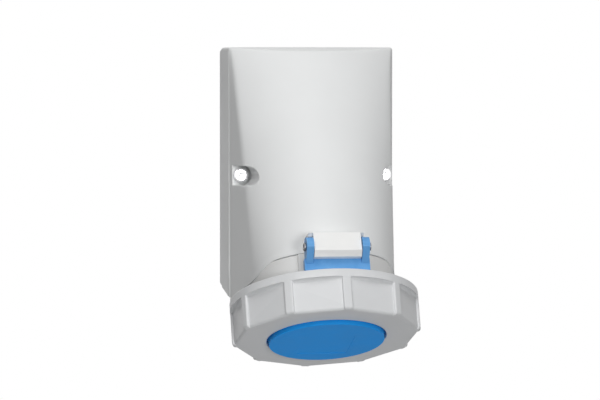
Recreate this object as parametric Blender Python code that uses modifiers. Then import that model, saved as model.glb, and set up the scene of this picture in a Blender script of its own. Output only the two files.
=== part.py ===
# Industrial wall socket with an inclined outlet, a hinged lid and a bayonet ring.
# World frame: X to the right, +Y into the wall, Z up. The origin is the middle of the
# base plate's back face, which lies on the wall. Lengths are in metres.
# The outlet has its own frame, the empty "outlet_axis": its Z runs out of the mouth,
# its Y points to the front, and it starts at the top plane of the closed bayonet ring.

from math import asin, cos, pi, radians, sin, tan

import bmesh
import bpy
from mathutils import Matrix, Vector

# Housing
HOUSING_WIDTH = 0.090
HOUSING_HEIGHT = 0.130
SIDE_DEPTH = 0.030
TOP_FRONT_DEPTH = 0.042
FLOOR_SLOPE = radians(6.5)
COVER_WALL = 0.0026
COVER_EDGE_ROUND = 0.0016
HOUSING_CORNER_ROUND = 0.003
SEAM_GAP = 0.0003
CLEARANCE = 0.0003
CUT_OVERRUN = 0.001
FORM_INSET = 0.0001

# Base plate
BASE_RIM_DEPTH = 0.006
BASE_FLOOR = 0.003
TONGUE_HEIGHT = 0.006
TONGUE_WALL = 0.002
BASE_BOSS_RADIUS = 0.0032
FIXING_SPACING_X = 0.056
FIXING_SPACING_Z = 0.100
FIXING_SLOT_RADIUS = 0.0026
FIXING_SLOT_LENGTH = 0.009
BACK_ENTRY_RADIUS = 0.0125
BACK_ENTRY_Z = 0.018
KNOCKOUT_GROOVE_WIDTH = 0.0012
KNOCKOUT_GROOVE_DEPTH = 0.0012
TOP_ENTRY_RADIUS = 0.0105
SEAL_GROOVE_WIDTH = 0.0016
SEAL_GROOVE_DEPTH = 0.0014

# Cover screws and their side pockets
COVER_SCREW_X = 0.03885
COVER_SCREW_Z = -0.0036
POCKET_FLOOR_DEPTH = 0.0345
POCKET_HALF_HEIGHT = 0.0054
POCKET_WALL = 0.0022
POCKET_FLOOR_WALL = 0.003
COVER_POST_RADIUS = 0.005
SCREW_RADIUS = 0.0019
SCREW_HEAD_RADIUS = 0.004
SCREW_HEAD_HEIGHT = 0.0025
SCREW_RECESS_DEPTH = 0.0013
SCREW_RECESS_WIDTH = 0.0008
SCREW_RECESS_LENGTH = 0.0042

# Outlet frame
OUTLET_TILT = radians(22)
OUTLET_DEPTH = 0.0695
OUTLET_Z = -0.0683

# Mouth of the cover, measured along the outlet axis
MOUTH_PLANE = -0.0135
MOUTH_RADIUS = 0.0382
MOUTH_ARC = radians(80.5)

# Socket body
COLLAR_RADIUS = 0.0375
SKIRT_RADIUS = 0.0370
SKIRT_WALL = 0.0028
SKIRT_END = 0.015
BORE_RADIUS = 0.02925
BORE_WALL = 0.0024
BORE_BACK = -0.030
BODY_FLANGE = 0.003
SPIGOT_HEIGHT = 0.005
SPIGOT_WALL = 0.0025
KEYWAY_WIDTH = 0.0070
KEYWAY_DEPTH = 0.0015
KEYWAY_LENGTH = 0.034
LUG_HEIGHT = 0.0035
LUG_START = 0.006
LUG_END = 0.010
LUG_HALF_ANGLE = radians(20)
LUG_ANGLES = (radians(135), radians(315))
PAD_RADIUS = 0.0395
PAD_HALF_ANGLE = radians(28.5)
PAD_END = -0.0015
BODY_SCREW_X = 0.0385
BODY_SCREW_Y = -0.0315
BODY_SCREW_LENGTH = 0.012
BODY_POST_RADIUS = 0.004
BODY_POST_HEIGHT = 0.018

# Hinge
PIN_DISTANCE = 0.0475
PIN_PLANE = -0.0125
PIN_RADIUS = 0.0015
PIN_HEAD_RADIUS = 0.0023
PIN_HEAD_LENGTH = 0.0008
KNUCKLE_RADIUS = 0.0052
KNUCKLE_HALF_WIDTH = 0.0125
KNUCKLE_SHOULDER_HALF_WIDTH = 0.0142
KNUCKLE_TOP_PLANE = -0.0212
EAR_RADIUS = 0.005
EAR_WIDTH = 0.0044

# Lid
CROSSBAR_TOP = -0.007
CROSSBAR_END = -0.0006
ARM_INNER_RADIUS = 0.0410
ARM_WALL = 0.0033
ARM_HALF_ANGLE = radians(21.5)
LID_RADIUS = 0.0435
LID_WALL = 0.0029
LID_FACE_RADIUS = 0.0308
LID_FACE_HEIGHT = 0.0043
LID_FACE_CHAMFER = 0.0014
LID_SEAL_RADIUS = 0.0310
LID_SEAL_WIDTH = 0.005
LID_SEAL_HEIGHT = 0.003

# Bayonet ring
RING_RADIUS = 0.050
RING_RIM_HEIGHT = 0.0045
RING_INNER_RADIUS = 0.045
RING_FLOOR = 0.0024
RING_EDGE_ROUND = 0.0014
RING_FOOT_CHAMFER = 0.0036
RIB_COUNT = 10
RIB_WIDTH = 0.0046
RIB_END = 0.0212
RIB_PHASE = radians(4.1)
CAM_INNER_RADIUS = 0.0384
CAM_START = 0.0015
CAM_END = 0.0054
CAM_HALF_ANGLE = radians(13.5)
CAM_ANGLES = (radians(90), radians(270))
LIP_HEIGHT = 0.0025
LIP_WALL = 0.001
LIP_HALF_ANGLE = radians(10)
LIP_ANGLES = (radians(90), radians(180), radians(270))

# Contacts
CARRIER_RADIUS = 0.025
CARRIER_FACE = 0.005
CARRIER_DISC = 0.004
CARRIER_FLANGE_RADIUS = 0.0314
CARRIER_FLANGE = 0.0025
CONTACT_CIRCLE_RADIUS = 0.0165
CONTACT_LIP = 0.008
SLEEVE_WALL = 0.0014
PIN_ENTRY_CLEARANCE = 0.0006
TERMINAL_LENGTH = 0.014
TERMINAL_WIDTH = 0.0105
TERMINAL_SCREW_RADIUS = 0.0016
TERMINAL_SCREW_HEAD_RADIUS = 0.0028
TERMINAL_SCREW_HEAD_HEIGHT = 0.0018
TERMINAL_SCREW_DEPTH = 0.0065
CONTACTS = {
    "line": {"angle": radians(60), "bore": 0.0032},
    "neutral": {"angle": radians(300), "bore": 0.0032},
    "earth": {"angle": radians(180), "bore": 0.0042},
}

# Facets of round forms
TURN_STEPS = 64
SMALL_STEPS = 16
ARC_STEPS = 26
LOFT_LEVELS = 6

# Values that follow from the ones above
HALF_WIDTH = HOUSING_WIDTH / 2
HALF_HEIGHT = HOUSING_HEIGHT / 2
COVER_BACK = BASE_RIM_DEPTH + SEAM_GAP
BODY_TOP = MOUTH_PLANE + SEAM_GAP + 0.0001
LID_TOP = SKIRT_END + LID_SEAL_HEIGHT + 2 * CLEARANCE
LID_FLANGE_END = LID_TOP + LID_WALL
RING_FLOOR_TOP = LID_FLANGE_END + CLEARANCE
RING_END = RING_FLOOR_TOP + RING_FLOOR
EAR_INNER = KNUCKLE_HALF_WIDTH + CLEARANCE
EAR_OUTER = EAR_INNER + EAR_WIDTH

for old in list(bpy.data.objects):
    bpy.data.objects.remove(old)

parts = bpy.data.collections.new("industrial_wall_socket")
cutters = bpy.data.collections.new("cutters")
for group in (parts, cutters):
    bpy.context.scene.collection.children.link(group)


# Materials

def make_material(name, colour, roughness, metallic=0.0):
    material = bpy.data.materials.new(name)
    material.use_nodes = True
    shader = material.node_tree.nodes["Principled BSDF"]
    shader.inputs["Base Color"].default_value = (*colour, 1.0)
    shader.inputs["Roughness"].default_value = roughness
    shader.inputs["Metallic"].default_value = metallic
    return material


housing_grey = make_material("housing_grey", (0.78, 0.79, 0.79), 0.42)
ring_grey = make_material("ring_grey", (0.74, 0.75, 0.76), 0.38)
body_grey = make_material("body_grey", (0.80, 0.80, 0.79), 0.42)
lid_blue = make_material("lid_blue", (0.03, 0.20, 0.52), 0.36)
carrier_blue = make_material("carrier_blue", (0.04, 0.16, 0.38), 0.5)
seal_black = make_material("seal_black", (0.03, 0.03, 0.03), 0.75)
screw_plating = make_material("screw_plating", (0.80, 0.80, 0.82), 0.25, 1.0)
pin_steel = make_material("pin_steel", (0.60, 0.60, 0.62), 0.3, 1.0)
contact_brass = make_material("contact_brass", (0.78, 0.60, 0.28), 0.3, 1.0)


# Frames of the outlet, the lid hinge and the ring

def make_empty(name, parent, location, rotation=(0, 0, 0)):
    empty = bpy.data.objects.new(name, None)
    empty.empty_display_size = 0.01
    empty.parent = parent
    empty.location = location
    empty.rotation_euler = rotation
    cutters.objects.link(empty)
    return empty


outlet_axis = make_empty("outlet_axis", None, (0, -OUTLET_DEPTH, OUTLET_Z), (pi - OUTLET_TILT, 0, 0))
lid_pivot = make_empty("lid_pivot", outlet_axis, (0, PIN_DISTANCE, PIN_PLANE))
ring_pivot = make_empty("ring_pivot", lid_pivot, (0, -PIN_DISTANCE, -PIN_PLANE))
pivot_offset = (0, -PIN_DISTANCE, -PIN_PLANE)


def outlet_to_world(x, y, z):
    forward = Vector((0, -cos(OUTLET_TILT), sin(OUTLET_TILT)))
    outward = Vector((0, -sin(OUTLET_TILT), -cos(OUTLET_TILT)))
    return Vector((x, -OUTLET_DEPTH, OUTLET_Z)) + y * forward + z * outward


# Building blocks

def finish(name, mesh, material=None, parent=None, location=(0, 0, 0), rotation=(0, 0, 0)):
    thing = bpy.data.objects.new(name, mesh)
    thing.parent = parent
    thing.location = location
    thing.rotation_euler = rotation
    if material is None:
        cutters.objects.link(thing)
        thing.hide_render = True
        thing.display_type = "WIRE"
    else:
        parts.objects.link(thing)
        mesh.materials.append(material)
        mesh.shade_smooth()
        mesh.set_sharp_from_angle(angle=radians(32))
    return thing


def mesh_from(name, shape):
    bmesh.ops.recalc_face_normals(shape, faces=shape.faces)
    mesh = bpy.data.meshes.new(name)
    shape.to_mesh(mesh)
    shape.free()
    return mesh


def polar(radius, angle):
    # Angles in the outlet frame start at the front and turn towards +X.
    return radius * sin(angle), radius * cos(angle)


def arc(centre, radius, start, end, steps):
    return [(centre[0] + radius * cos(start + (end - start) * i / steps),
             centre[1] + radius * sin(start + (end - start) * i / steps)) for i in range(steps + 1)]


def turned(name, profile, closed=True, steps=TURN_STEPS, **where):
    # The profile is wound so that its outer side runs down, which turns the faces outwards.
    area = sum(a[0] * b[1] - b[0] * a[1] for a, b in zip(profile, profile[1:] + profile[:1]))
    points = profile if area < 0 else profile[::-1]
    count = len(points)
    edges = [(i, (i + 1) % count) for i in range(count if closed else count - 1)]
    mesh = bpy.data.meshes.new(name)
    mesh.from_pydata([(r, 0, z) for r, z in points], edges, [])
    thing = finish(name, mesh, **where)
    screw = thing.modifiers.new("turn", "SCREW")
    screw.axis = "Z"
    screw.steps = steps
    screw.render_steps = steps
    screw.use_merge_vertices = True
    screw.merge_threshold = 0.00001
    screw.use_smooth_shade = True
    return thing


def sector(name, profile, centre_angle, half_angle, steps, **where):
    # A turned piece that covers part of a turn.
    shape = bmesh.new()
    start = Matrix.Rotation(-(centre_angle - half_angle), 3, "Z")
    face = shape.faces.new([shape.verts.new(start @ Vector((0, r, z))) for r, z in profile])
    bmesh.ops.spin(shape, geom=[face, *face.edges, *face.verts], cent=(0, 0, 0), axis=(0, 0, 1),
                   angle=-2 * half_angle, steps=steps)
    return finish(name, mesh_from(name, shape), **where)


def prism(name, outline, direction, **where):
    shape = bmesh.new()
    face = shape.faces.new([shape.verts.new(point) for point in outline])
    grown = bmesh.ops.extrude_face_region(shape, geom=[face])
    moved = [item for item in grown["geom"] if isinstance(item, bmesh.types.BMVert)]
    bmesh.ops.translate(shape, verts=moved, vec=direction)
    return finish(name, mesh_from(name, shape), **where)


def box(name, low, high, **where):
    shape = bmesh.new()
    size = Vector(high) - Vector(low)
    centre = (Vector(high) + Vector(low)) / 2
    bmesh.ops.create_cube(shape, matrix=Matrix.Translation(centre) @ Matrix.Diagonal((*size, 1)))
    return finish(name, mesh_from(name, shape), **where)


def rod(name, start, end, radius, steps=SMALL_STEPS, end_radius=None, **where):
    shape = bmesh.new()
    span = Vector(end) - Vector(start)
    turn = span.to_track_quat("Z", "Y").to_matrix().to_4x4()
    place = Matrix.Translation((Vector(start) + Vector(end)) / 2) @ turn
    bmesh.ops.create_cone(shape, cap_ends=True, segments=steps, radius1=radius,
                          radius2=radius if end_radius is None else end_radius,
                          depth=span.length, matrix=place)
    return finish(name, mesh_from(name, shape), **where)


def boolean(target, other, operation):
    step = target.modifiers.new(other.name, "BOOLEAN")
    step.operation = operation
    step.solver = "EXACT"
    step.object = other


def join(target, *others):
    for other in others:
        boolean(target, other, "UNION")


def cut(target, *others):
    for other in others:
        boolean(target, other, "DIFFERENCE")


def rounded_rectangle(half_x, low_z, high_z, radius, depth, steps=4):
    # Outline in the wall's plane, seen from the front, at one depth.
    corners = ((half_x - radius, high_z - radius, 0), (-half_x + radius, high_z - radius, pi / 2),
               (-half_x + radius, low_z + radius, pi), (half_x - radius, low_z + radius, 3 * pi / 2))
    return [Vector((x, -depth, z)) for cx, cz, start in corners
            for x, z in arc((cx, cz), radius, start, start + pi / 2, steps)]


# Housing form: a ruled loft from the flat top to the inclined round mouth.
# One triangular facet runs down each side, from the top corner to the mouth's tangent.

def top_section(inset, back, top):
    half = HALF_WIDTH - inset
    side = SIDE_DEPTH - inset
    bulge = TOP_FRONT_DEPTH - SIDE_DEPTH
    radius = (HALF_WIDTH ** 2 + bulge ** 2) / (2 * bulge)
    centre = TOP_FRONT_DEPTH - radius
    reach = asin(half / (radius - inset))
    side = centre + (radius - inset) * cos(reach)
    front = [((radius - inset) * sin(a), centre + (radius - inset) * cos(a))
             for a in (-reach + 2 * reach * i / ARC_STEPS for i in range(ARC_STEPS + 1))]
    flat = [(-half, back), (-half, side), *front, (half, side), (half, back)]
    return [Vector((x, -depth, top)) for x, depth in flat]


def floor_z(depth):
    return -HALF_HEIGHT - depth * tan(FLOOR_SLOPE)


def mouth_corner_y():
    # Where the mouth plane meets the front edge of the side walls, in the outlet frame.
    return -(SIDE_DEPTH - OUTLET_DEPTH + MOUTH_PLANE * -sin(OUTLET_TILT)) / -cos(OUTLET_TILT)


def mouth_section(inset, back, plane):
    half = HALF_WIDTH - inset
    radius = MOUTH_RADIUS - inset
    front = [polar(radius, -MOUTH_ARC + 2 * MOUTH_ARC * i / ARC_STEPS) for i in range(ARC_STEPS + 1)]
    corner_y = mouth_corner_y() + inset
    outer = [outlet_to_world(x, y, plane) for x, y in [(-half, corner_y), *front, (half, corner_y)]]
    low = floor_z(back) + inset
    return [Vector((-half, -back, low)), *outer, Vector((half, -back, low))]


def housing_solid(name, inset, back, top, plane, edge_round=0, **where):
    # The plane sets where the loft stops along the outlet axis.
    shoulder = top_section(inset, back, top - edge_round)
    end = mouth_section(inset, back, plane)
    sections = []
    for turn in (0, pi / 4) if edge_round else ():
        rise = edge_round * (1 - cos(turn))
        sections.append(top_section(inset + edge_round * (1 - sin(turn)), back, top - rise))
    sections += [[a.lerp(b, level / LOFT_LEVELS) for a, b in zip(shoulder, end)]
                 for level in range(LOFT_LEVELS + 1)]
    shape = bmesh.new()
    rows = [[shape.verts.new(point) for point in section] for section in sections]
    for upper, lower in zip(rows, rows[1:]):
        for i in range(len(upper) - 1):
            shape.faces.new((upper[i], upper[i + 1], lower[i + 1], lower[i]))
        shape.faces.new((upper[-1], upper[0], lower[0], lower[-1]))
    shape.faces.new(rows[0])
    shape.faces.new(rows[-1][1:-1])
    shape.faces.new((rows[-1][0], rows[-1][1], rows[-1][-2], rows[-1][-1]))
    bmesh.ops.remove_doubles(shape, verts=shape.verts, dist=0.000001)
    return finish(name, mesh_from(name, shape), **where)


# Base plate

def pocket_outline(grow, depth, side):
    # U shape, open towards the side wall, at one depth.
    half = POCKET_HALF_HEIGHT + grow
    inner = arc((COVER_SCREW_X, COVER_SCREW_Z), half, pi / 2, 3 * pi / 2, 10)
    reach = HALF_WIDTH + 0.004
    flat = [(reach, COVER_SCREW_Z + half), *inner, (reach, COVER_SCREW_Z - half)]
    return [Vector((side * x, -depth, z)) for x, z in flat]


def make_base_plate():
    plate = prism("base_plate", rounded_rectangle(HALF_WIDTH, floor_z(BASE_RIM_DEPTH / 2), HALF_HEIGHT,
                                                  HOUSING_CORNER_ROUND, 0),
                  (0, -BASE_RIM_DEPTH, 0), material=housing_grey)
    tongue_inset = COVER_WALL + CLEARANCE
    tongue_depth = BASE_RIM_DEPTH + TONGUE_HEIGHT
    tongue = prism("base_tongue", rounded_rectangle(HALF_WIDTH - tongue_inset,
                                                    floor_z(tongue_depth) + tongue_inset + 0.0016,
                                                    HALF_HEIGHT - tongue_inset, HOUSING_CORNER_ROUND,
                                                    BASE_FLOOR / 2),
                   (0, -(tongue_depth - BASE_FLOOR / 2), 0))
    hollow_inset = tongue_inset + TONGUE_WALL
    hollow = prism("base_hollow", rounded_rectangle(HALF_WIDTH - hollow_inset,
                                                    floor_z(0) + hollow_inset + 0.0016,
                                                    HALF_HEIGHT - hollow_inset, HOUSING_CORNER_ROUND / 2,
                                                    BASE_FLOOR),
                   (0, -tongue_depth, 0))
    join(plate, tongue)
    cut(plate, hollow)
    groove_inset = (COVER_WALL - SEAL_GROOVE_WIDTH) / 2
    groove = seal_loop("seal_groove", groove_inset, SEAL_GROOVE_WIDTH,
                       BASE_RIM_DEPTH - SEAL_GROOVE_DEPTH, BASE_RIM_DEPTH + 0.001)
    cut(plate, groove)
    for side, word in ((-1, "left"), (1, "right")):
        x = side * COVER_SCREW_X
        boss = rod("base_boss_" + word, (x, -BASE_FLOOR / 2, COVER_SCREW_Z),
                   (x, -tongue_depth, COVER_SCREW_Z), BASE_BOSS_RADIUS)
        hole = rod("base_boss_hole_" + word, (x, -BASE_FLOOR, COVER_SCREW_Z),
                   (x, -tongue_depth - 0.001, COVER_SCREW_Z), SCREW_RADIUS + CLEARANCE)
        join(plate, boss)
        cut(plate, hole)
    for column in (-1, 1):
        for row in (-1, 1):
            cut(plate, fixing_slot(column, row))
    cut(plate, knockout_ring("back_entry", (0, CUT_OVERRUN, BACK_ENTRY_Z), (0, -1, 0),
                             BACK_ENTRY_RADIUS, KNOCKOUT_GROOVE_DEPTH + CUT_OVERRUN))
    return plate


def fixing_slot(column, row):
    x = column * FIXING_SPACING_X / 2
    z = row * FIXING_SPACING_Z / 2
    half = FIXING_SLOT_LENGTH / 2 - FIXING_SLOT_RADIUS
    across = column < 0
    right = arc((x + (half if across else 0), z + (0 if across else half)), FIXING_SLOT_RADIUS,
                -pi / 2 if across else 0, pi / 2 if across else pi, 6)
    left = arc((x - (half if across else 0), z - (0 if across else half)), FIXING_SLOT_RADIUS,
               pi / 2 if across else pi, 3 * pi / 2 if across else 2 * pi, 6)
    outline = [Vector((px, 0.001, pz)) for px, pz in right + left]
    return prism("fixing_slot_%d_%d" % (column + 1, row + 1), outline, (0, -BASE_FLOOR - 0.002, 0))


def knockout_ring(name, start, direction, radius, length, parent=None):
    profile = [(radius, 0), (radius, length), (radius - KNOCKOUT_GROOVE_WIDTH, length),
               (radius - KNOCKOUT_GROOVE_WIDTH, 0)]
    turn = Vector(direction).to_track_quat("Z", "Y").to_euler()
    return turned(name, profile, steps=32, location=start, rotation=turn, parent=parent)


def seal_loop(name, inset, width, start_depth, end_depth, **where):
    low = floor_z(BASE_RIM_DEPTH / 2)
    corner = HOUSING_CORNER_ROUND - inset
    outer = rounded_rectangle(HALF_WIDTH - inset, low + inset, HALF_HEIGHT - inset, corner, start_depth)
    inner_inset = inset + width
    inner = rounded_rectangle(HALF_WIDTH - inner_inset, low + inner_inset, HALF_HEIGHT - inner_inset,
                              HOUSING_CORNER_ROUND - inner_inset if inner_inset < HOUSING_CORNER_ROUND
                              else 0.0003, start_depth)
    shape = bmesh.new()
    loops = [[shape.verts.new(point) for point in outline] for outline in (outer, inner)]
    count = len(outer)
    faces = [shape.faces.new((loops[0][i], loops[0][(i + 1) % count], loops[1][(i + 1) % count], loops[1][i]))
             for i in range(count)]
    grown = bmesh.ops.extrude_face_region(shape, geom=faces)
    moved = [item for item in grown["geom"] if isinstance(item, bmesh.types.BMVert)]
    bmesh.ops.translate(shape, verts=moved, vec=(0, start_depth - end_depth, 0))
    return finish(name, mesh_from(name, shape), **where)


def make_cover_seal():
    inset = (COVER_WALL - SEAL_GROOVE_WIDTH) / 2 + CLEARANCE
    return seal_loop("cover_seal", inset, SEAL_GROOVE_WIDTH - 2 * CLEARANCE,
                     BASE_RIM_DEPTH - SEAL_GROOVE_DEPTH + CLEARANCE, BASE_RIM_DEPTH, material=seal_black)


# Front cover

def make_front_cover():
    cover = housing_solid("front_cover", 0, COVER_BACK, HALF_HEIGHT, MOUTH_PLANE, material=housing_grey,
                          edge_round=COVER_EDGE_ROUND)
    hollow = housing_solid("cover_hollow", COVER_WALL, COVER_BACK - 0.002, HALF_HEIGHT - COVER_WALL,
                           MOUTH_PLANE + 0.0005)
    cut(cover, hollow)
    outer = housing_solid("cover_outer_form", FORM_INSET, COVER_BACK + FORM_INSET,
                          HALF_HEIGHT - COVER_EDGE_ROUND, MOUTH_PLANE - FORM_INSET)
    for side, word in ((-1, "left"), (1, "right")):
        x = side * COVER_SCREW_X
        pocket_start = POCKET_FLOOR_DEPTH - POCKET_FLOOR_WALL
        pocket = prism("pocket_wall_" + word, pocket_outline(POCKET_WALL, pocket_start, side), (0, -0.035, 0))
        post_start = BASE_RIM_DEPTH + TONGUE_HEIGHT + SEAM_GAP
        post = rod("cover_post_" + word, (x, -post_start, COVER_SCREW_Z),
                   (x, -pocket_start - 0.001, COVER_SCREW_Z), COVER_POST_RADIUS)
        join(pocket, post)
        boolean(pocket, outer, "INTERSECT")
        join(cover, pocket)
        opening = prism("pocket_opening_" + word, pocket_outline(0, POCKET_FLOOR_DEPTH, side), (0, -0.040, 0))
        hole = rod("cover_screw_hole_" + word, (x, -post_start + 0.001, COVER_SCREW_Z),
                   (x, -POCKET_FLOOR_DEPTH - 0.001, COVER_SCREW_Z), SCREW_RADIUS + CLEARANCE)
        cut(cover, opening, hole)
        sx = side * BODY_SCREW_X
        body_post = rod("body_post_" + word, (sx, BODY_SCREW_Y, MOUTH_PLANE),
                        (sx, BODY_SCREW_Y, MOUTH_PLANE - BODY_POST_HEIGHT), BODY_POST_RADIUS,
                        parent=outlet_axis)
        boolean(body_post, outer, "INTERSECT")
        join(cover, body_post)
        body_hole = rod("body_screw_hole_" + word, (sx, BODY_SCREW_Y, MOUTH_PLANE + 0.001),
                        (sx, BODY_SCREW_Y, MOUTH_PLANE - BODY_SCREW_LENGTH), SCREW_RADIUS + CLEARANCE,
                        parent=outlet_axis)
        cut(cover, body_hole)
    entry = knockout_ring("top_entry", (0, -(COVER_BACK + TOP_FRONT_DEPTH) / 2, HALF_HEIGHT + 0.001),
                          (0, 0, -1), TOP_ENTRY_RADIUS, KNOCKOUT_GROOVE_DEPTH + 0.001)
    cut(cover, entry)
    return cover


# Screws

def screw_profile(radius, head_radius, head_height, length):
    crown = arc((head_radius - head_height * 0.55, head_height * 0.45), head_height * 0.55, 0, pi / 2, 3)
    return [(0, -length), (radius * 0.5, -length), (radius, -length + radius * 0.6), (radius, 0),
            (head_radius, 0), *crown, (0, head_height)]


def make_screw(name, length, material, steps=SMALL_STEPS, radius=SCREW_RADIUS, head_radius=SCREW_HEAD_RADIUS,
               head_height=SCREW_HEAD_HEIGHT, **where):
    screw = turned(name, screw_profile(radius, head_radius, head_height, length), closed=False, steps=steps,
                   material=material, **where)
    scale = head_radius / SCREW_HEAD_RADIUS
    half_long = SCREW_RECESS_LENGTH * scale / 2
    half_wide = SCREW_RECESS_WIDTH * scale / 2
    floor = head_height - SCREW_RECESS_DEPTH * scale
    for word, half_x, half_y in (("a", half_long, half_wide), ("b", half_wide, half_long)):
        slot = box(name + "_recess_" + word, (-half_x, -half_y, floor), (half_x, half_y, head_height + 0.001),
                   **where)
        cut(screw, slot)
    return screw


def make_cover_screws():
    for side, word in ((-1, "left"), (1, "right")):
        seat = POCKET_FLOOR_DEPTH + CLEARANCE
        make_screw("cover_screw_" + word, seat - BASE_FLOOR - 0.001, screw_plating,
                   location=(side * COVER_SCREW_X, -seat, COVER_SCREW_Z), rotation=(pi / 2, 0, 0))


def make_socket_screws():
    for side, word in ((-1, "left"), (1, "right")):
        seat = BODY_TOP + BODY_FLANGE + CLEARANCE
        make_screw("socket_screw_" + word, BODY_SCREW_LENGTH + seat - MOUTH_PLANE - 2 * CLEARANCE,
                   screw_plating, parent=outlet_axis,
                   location=(side * BODY_SCREW_X, BODY_SCREW_Y, seat))


# Socket body

def make_socket_body():
    bore_outer = BORE_RADIUS + BORE_WALL
    skirt_inner = SKIRT_RADIUS - SKIRT_WALL
    web = BODY_TOP + BODY_FLANGE
    spigot_top = BODY_TOP - SPIGOT_HEIGHT
    spigot_radius = cover_front_y(spigot_top) - COVER_WALL - 2 * CLEARANCE
    edge = 0.0005
    profile = [(COLLAR_RADIUS, BODY_TOP), (COLLAR_RADIUS, -edge), (SKIRT_RADIUS, 0),
               (SKIRT_RADIUS, SKIRT_END - edge), (SKIRT_RADIUS - edge, SKIRT_END),
               (skirt_inner, SKIRT_END), (skirt_inner, web), (bore_outer, web),
               (bore_outer, SKIRT_END - edge), (bore_outer - edge, SKIRT_END),
               (BORE_RADIUS + edge, SKIRT_END), (BORE_RADIUS, SKIRT_END - edge),
               (BORE_RADIUS, BORE_BACK), (bore_outer, BORE_BACK), (bore_outer, BODY_TOP - 0.0005),
               (spigot_radius - SPIGOT_WALL, BODY_TOP - 0.0005), (spigot_radius - SPIGOT_WALL, spigot_top),
               (spigot_radius, spigot_top), (spigot_radius, BODY_TOP)]
    body = turned("socket_body", profile, material=body_grey, parent=outlet_axis)
    join(body, corner_flange())
    for index, angle in enumerate(LUG_ANGLES):
        lug = [(SKIRT_RADIUS - 0.001, LUG_START), (SKIRT_RADIUS + LUG_HEIGHT, LUG_START),
               (SKIRT_RADIUS + LUG_HEIGHT, LUG_END), (SKIRT_RADIUS - 0.001, LUG_END)]
        join(body, sector("body_lug_%d" % index, lug, angle, LUG_HALF_ANGLE, 8, parent=outlet_axis))
    pad = [(COLLAR_RADIUS - 0.001, BODY_TOP + 0.0002), (PAD_RADIUS, BODY_TOP + 0.0002), (PAD_RADIUS, PAD_END),
           (COLLAR_RADIUS - 0.001, PAD_END)]
    join(body, sector("arm_pad", pad, 0, PAD_HALF_ANGLE, 12, parent=outlet_axis))
    join(body, knuckle(), knuckle_shoulder())
    cut(body, rod("knuckle_bore", (-0.03, PIN_DISTANCE, PIN_PLANE), (0.03, PIN_DISTANCE, PIN_PLANE),
                  PIN_RADIUS + CLEARANCE, parent=outlet_axis))
    cut(body, box("keyway", (-KEYWAY_WIDTH / 2, -BORE_RADIUS - KEYWAY_DEPTH, SKIRT_END - KEYWAY_LENGTH),
                  (KEYWAY_WIDTH / 2, -BORE_RADIUS + 0.004, SKIRT_END + 0.001), parent=outlet_axis))
    for side, word in ((-1, "left"), (1, "right")):
        x = side * BODY_SCREW_X
        cut(body, rod("flange_hole_" + word, (x, BODY_SCREW_Y, BODY_TOP - 0.001),
                      (x, BODY_SCREW_Y, web + 0.001), SCREW_RADIUS + CLEARANCE, parent=outlet_axis))
    return body


def corner_flange():
    # Fills the mouth's rear corners around the collar.
    inset = MOUTH_RADIUS - COLLAR_RADIUS
    half = HALF_WIDTH - inset
    rear = mouth_corner_y() + inset
    side_x, side_y = polar(MOUTH_RADIUS - inset - 0.0005, MOUTH_ARC)
    outline = [(-half, rear), (half, rear), (side_x, side_y), (-side_x, side_y)]
    low = BODY_TOP + 0.0001
    flange = prism("corner_flange", [(x, y, low) for x, y in outline], (0, 0, BODY_FLANGE - 0.0002),
                   parent=outlet_axis)
    clear = rod("flange_clear", (0, 0, low - 0.001), (0, 0, low + BODY_FLANGE + 0.001),
                BORE_RADIUS + BORE_WALL + 0.0015, steps=TURN_STEPS, parent=outlet_axis)
    cut(flange, clear)
    return flange


def cover_front_y(plane):
    # Front of the cover in its middle plane, in the outlet frame.
    top_y = (TOP_FRONT_DEPTH - OUTLET_DEPTH) * cos(OUTLET_TILT) + (HALF_HEIGHT - OUTLET_Z) * sin(OUTLET_TILT)
    top_plane = (TOP_FRONT_DEPTH - OUTLET_DEPTH) * sin(OUTLET_TILT) - (HALF_HEIGHT - OUTLET_Z) * cos(OUTLET_TILT)
    share = (MOUTH_PLANE - plane) / (MOUTH_PLANE - top_plane)
    return MOUTH_RADIUS + share * (top_y - MOUTH_RADIUS)


def knuckle():
    # Side view of the knuckle: a round nose about the pin that runs back to the collar.
    gap = CLEARANCE + 0.0002
    nose = arc((PIN_DISTANCE, PIN_PLANE), KNUCKLE_RADIUS, pi / 2, -radians(125), 14)
    root = COLLAR_RADIUS - 0.001
    top = KNUCKLE_TOP_PLANE + 0.0012
    outline = [(root, PIN_PLANE + KNUCKLE_RADIUS - 0.0003), *nose, (cover_front_y(top) + 0.0022, top),
               (cover_front_y(top) + gap, top), (cover_front_y(MOUTH_PLANE) + gap, MOUTH_PLANE),
               (cover_front_y(MOUTH_PLANE) + gap, BODY_TOP + 0.0002), (root, BODY_TOP + 0.0002)]
    half = KNUCKLE_HALF_WIDTH
    return prism("knuckle", [(-half, y, z) for y, z in outline], (2 * half, 0, 0), parent=outlet_axis)


def knuckle_shoulder():
    # Wider root above the ears, clear of their round ends.
    gap = CLEARANCE + 0.0002
    top = KNUCKLE_TOP_PLANE
    reach = EAR_RADIUS + 0.0012
    lower = arc((PIN_DISTANCE, PIN_PLANE), reach, radians(195), radians(232), 3)
    outline = [(cover_front_y(MOUTH_PLANE) + gap, MOUTH_PLANE - 0.0004), *lower,
               (cover_front_y(top) + 0.0028, top), (cover_front_y(top) + gap, top)]
    half = KNUCKLE_SHOULDER_HALF_WIDTH
    return prism("knuckle_shoulder", [(-half, y, z) for y, z in outline], (2 * half, 0, 0),
                 parent=outlet_axis)


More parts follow.
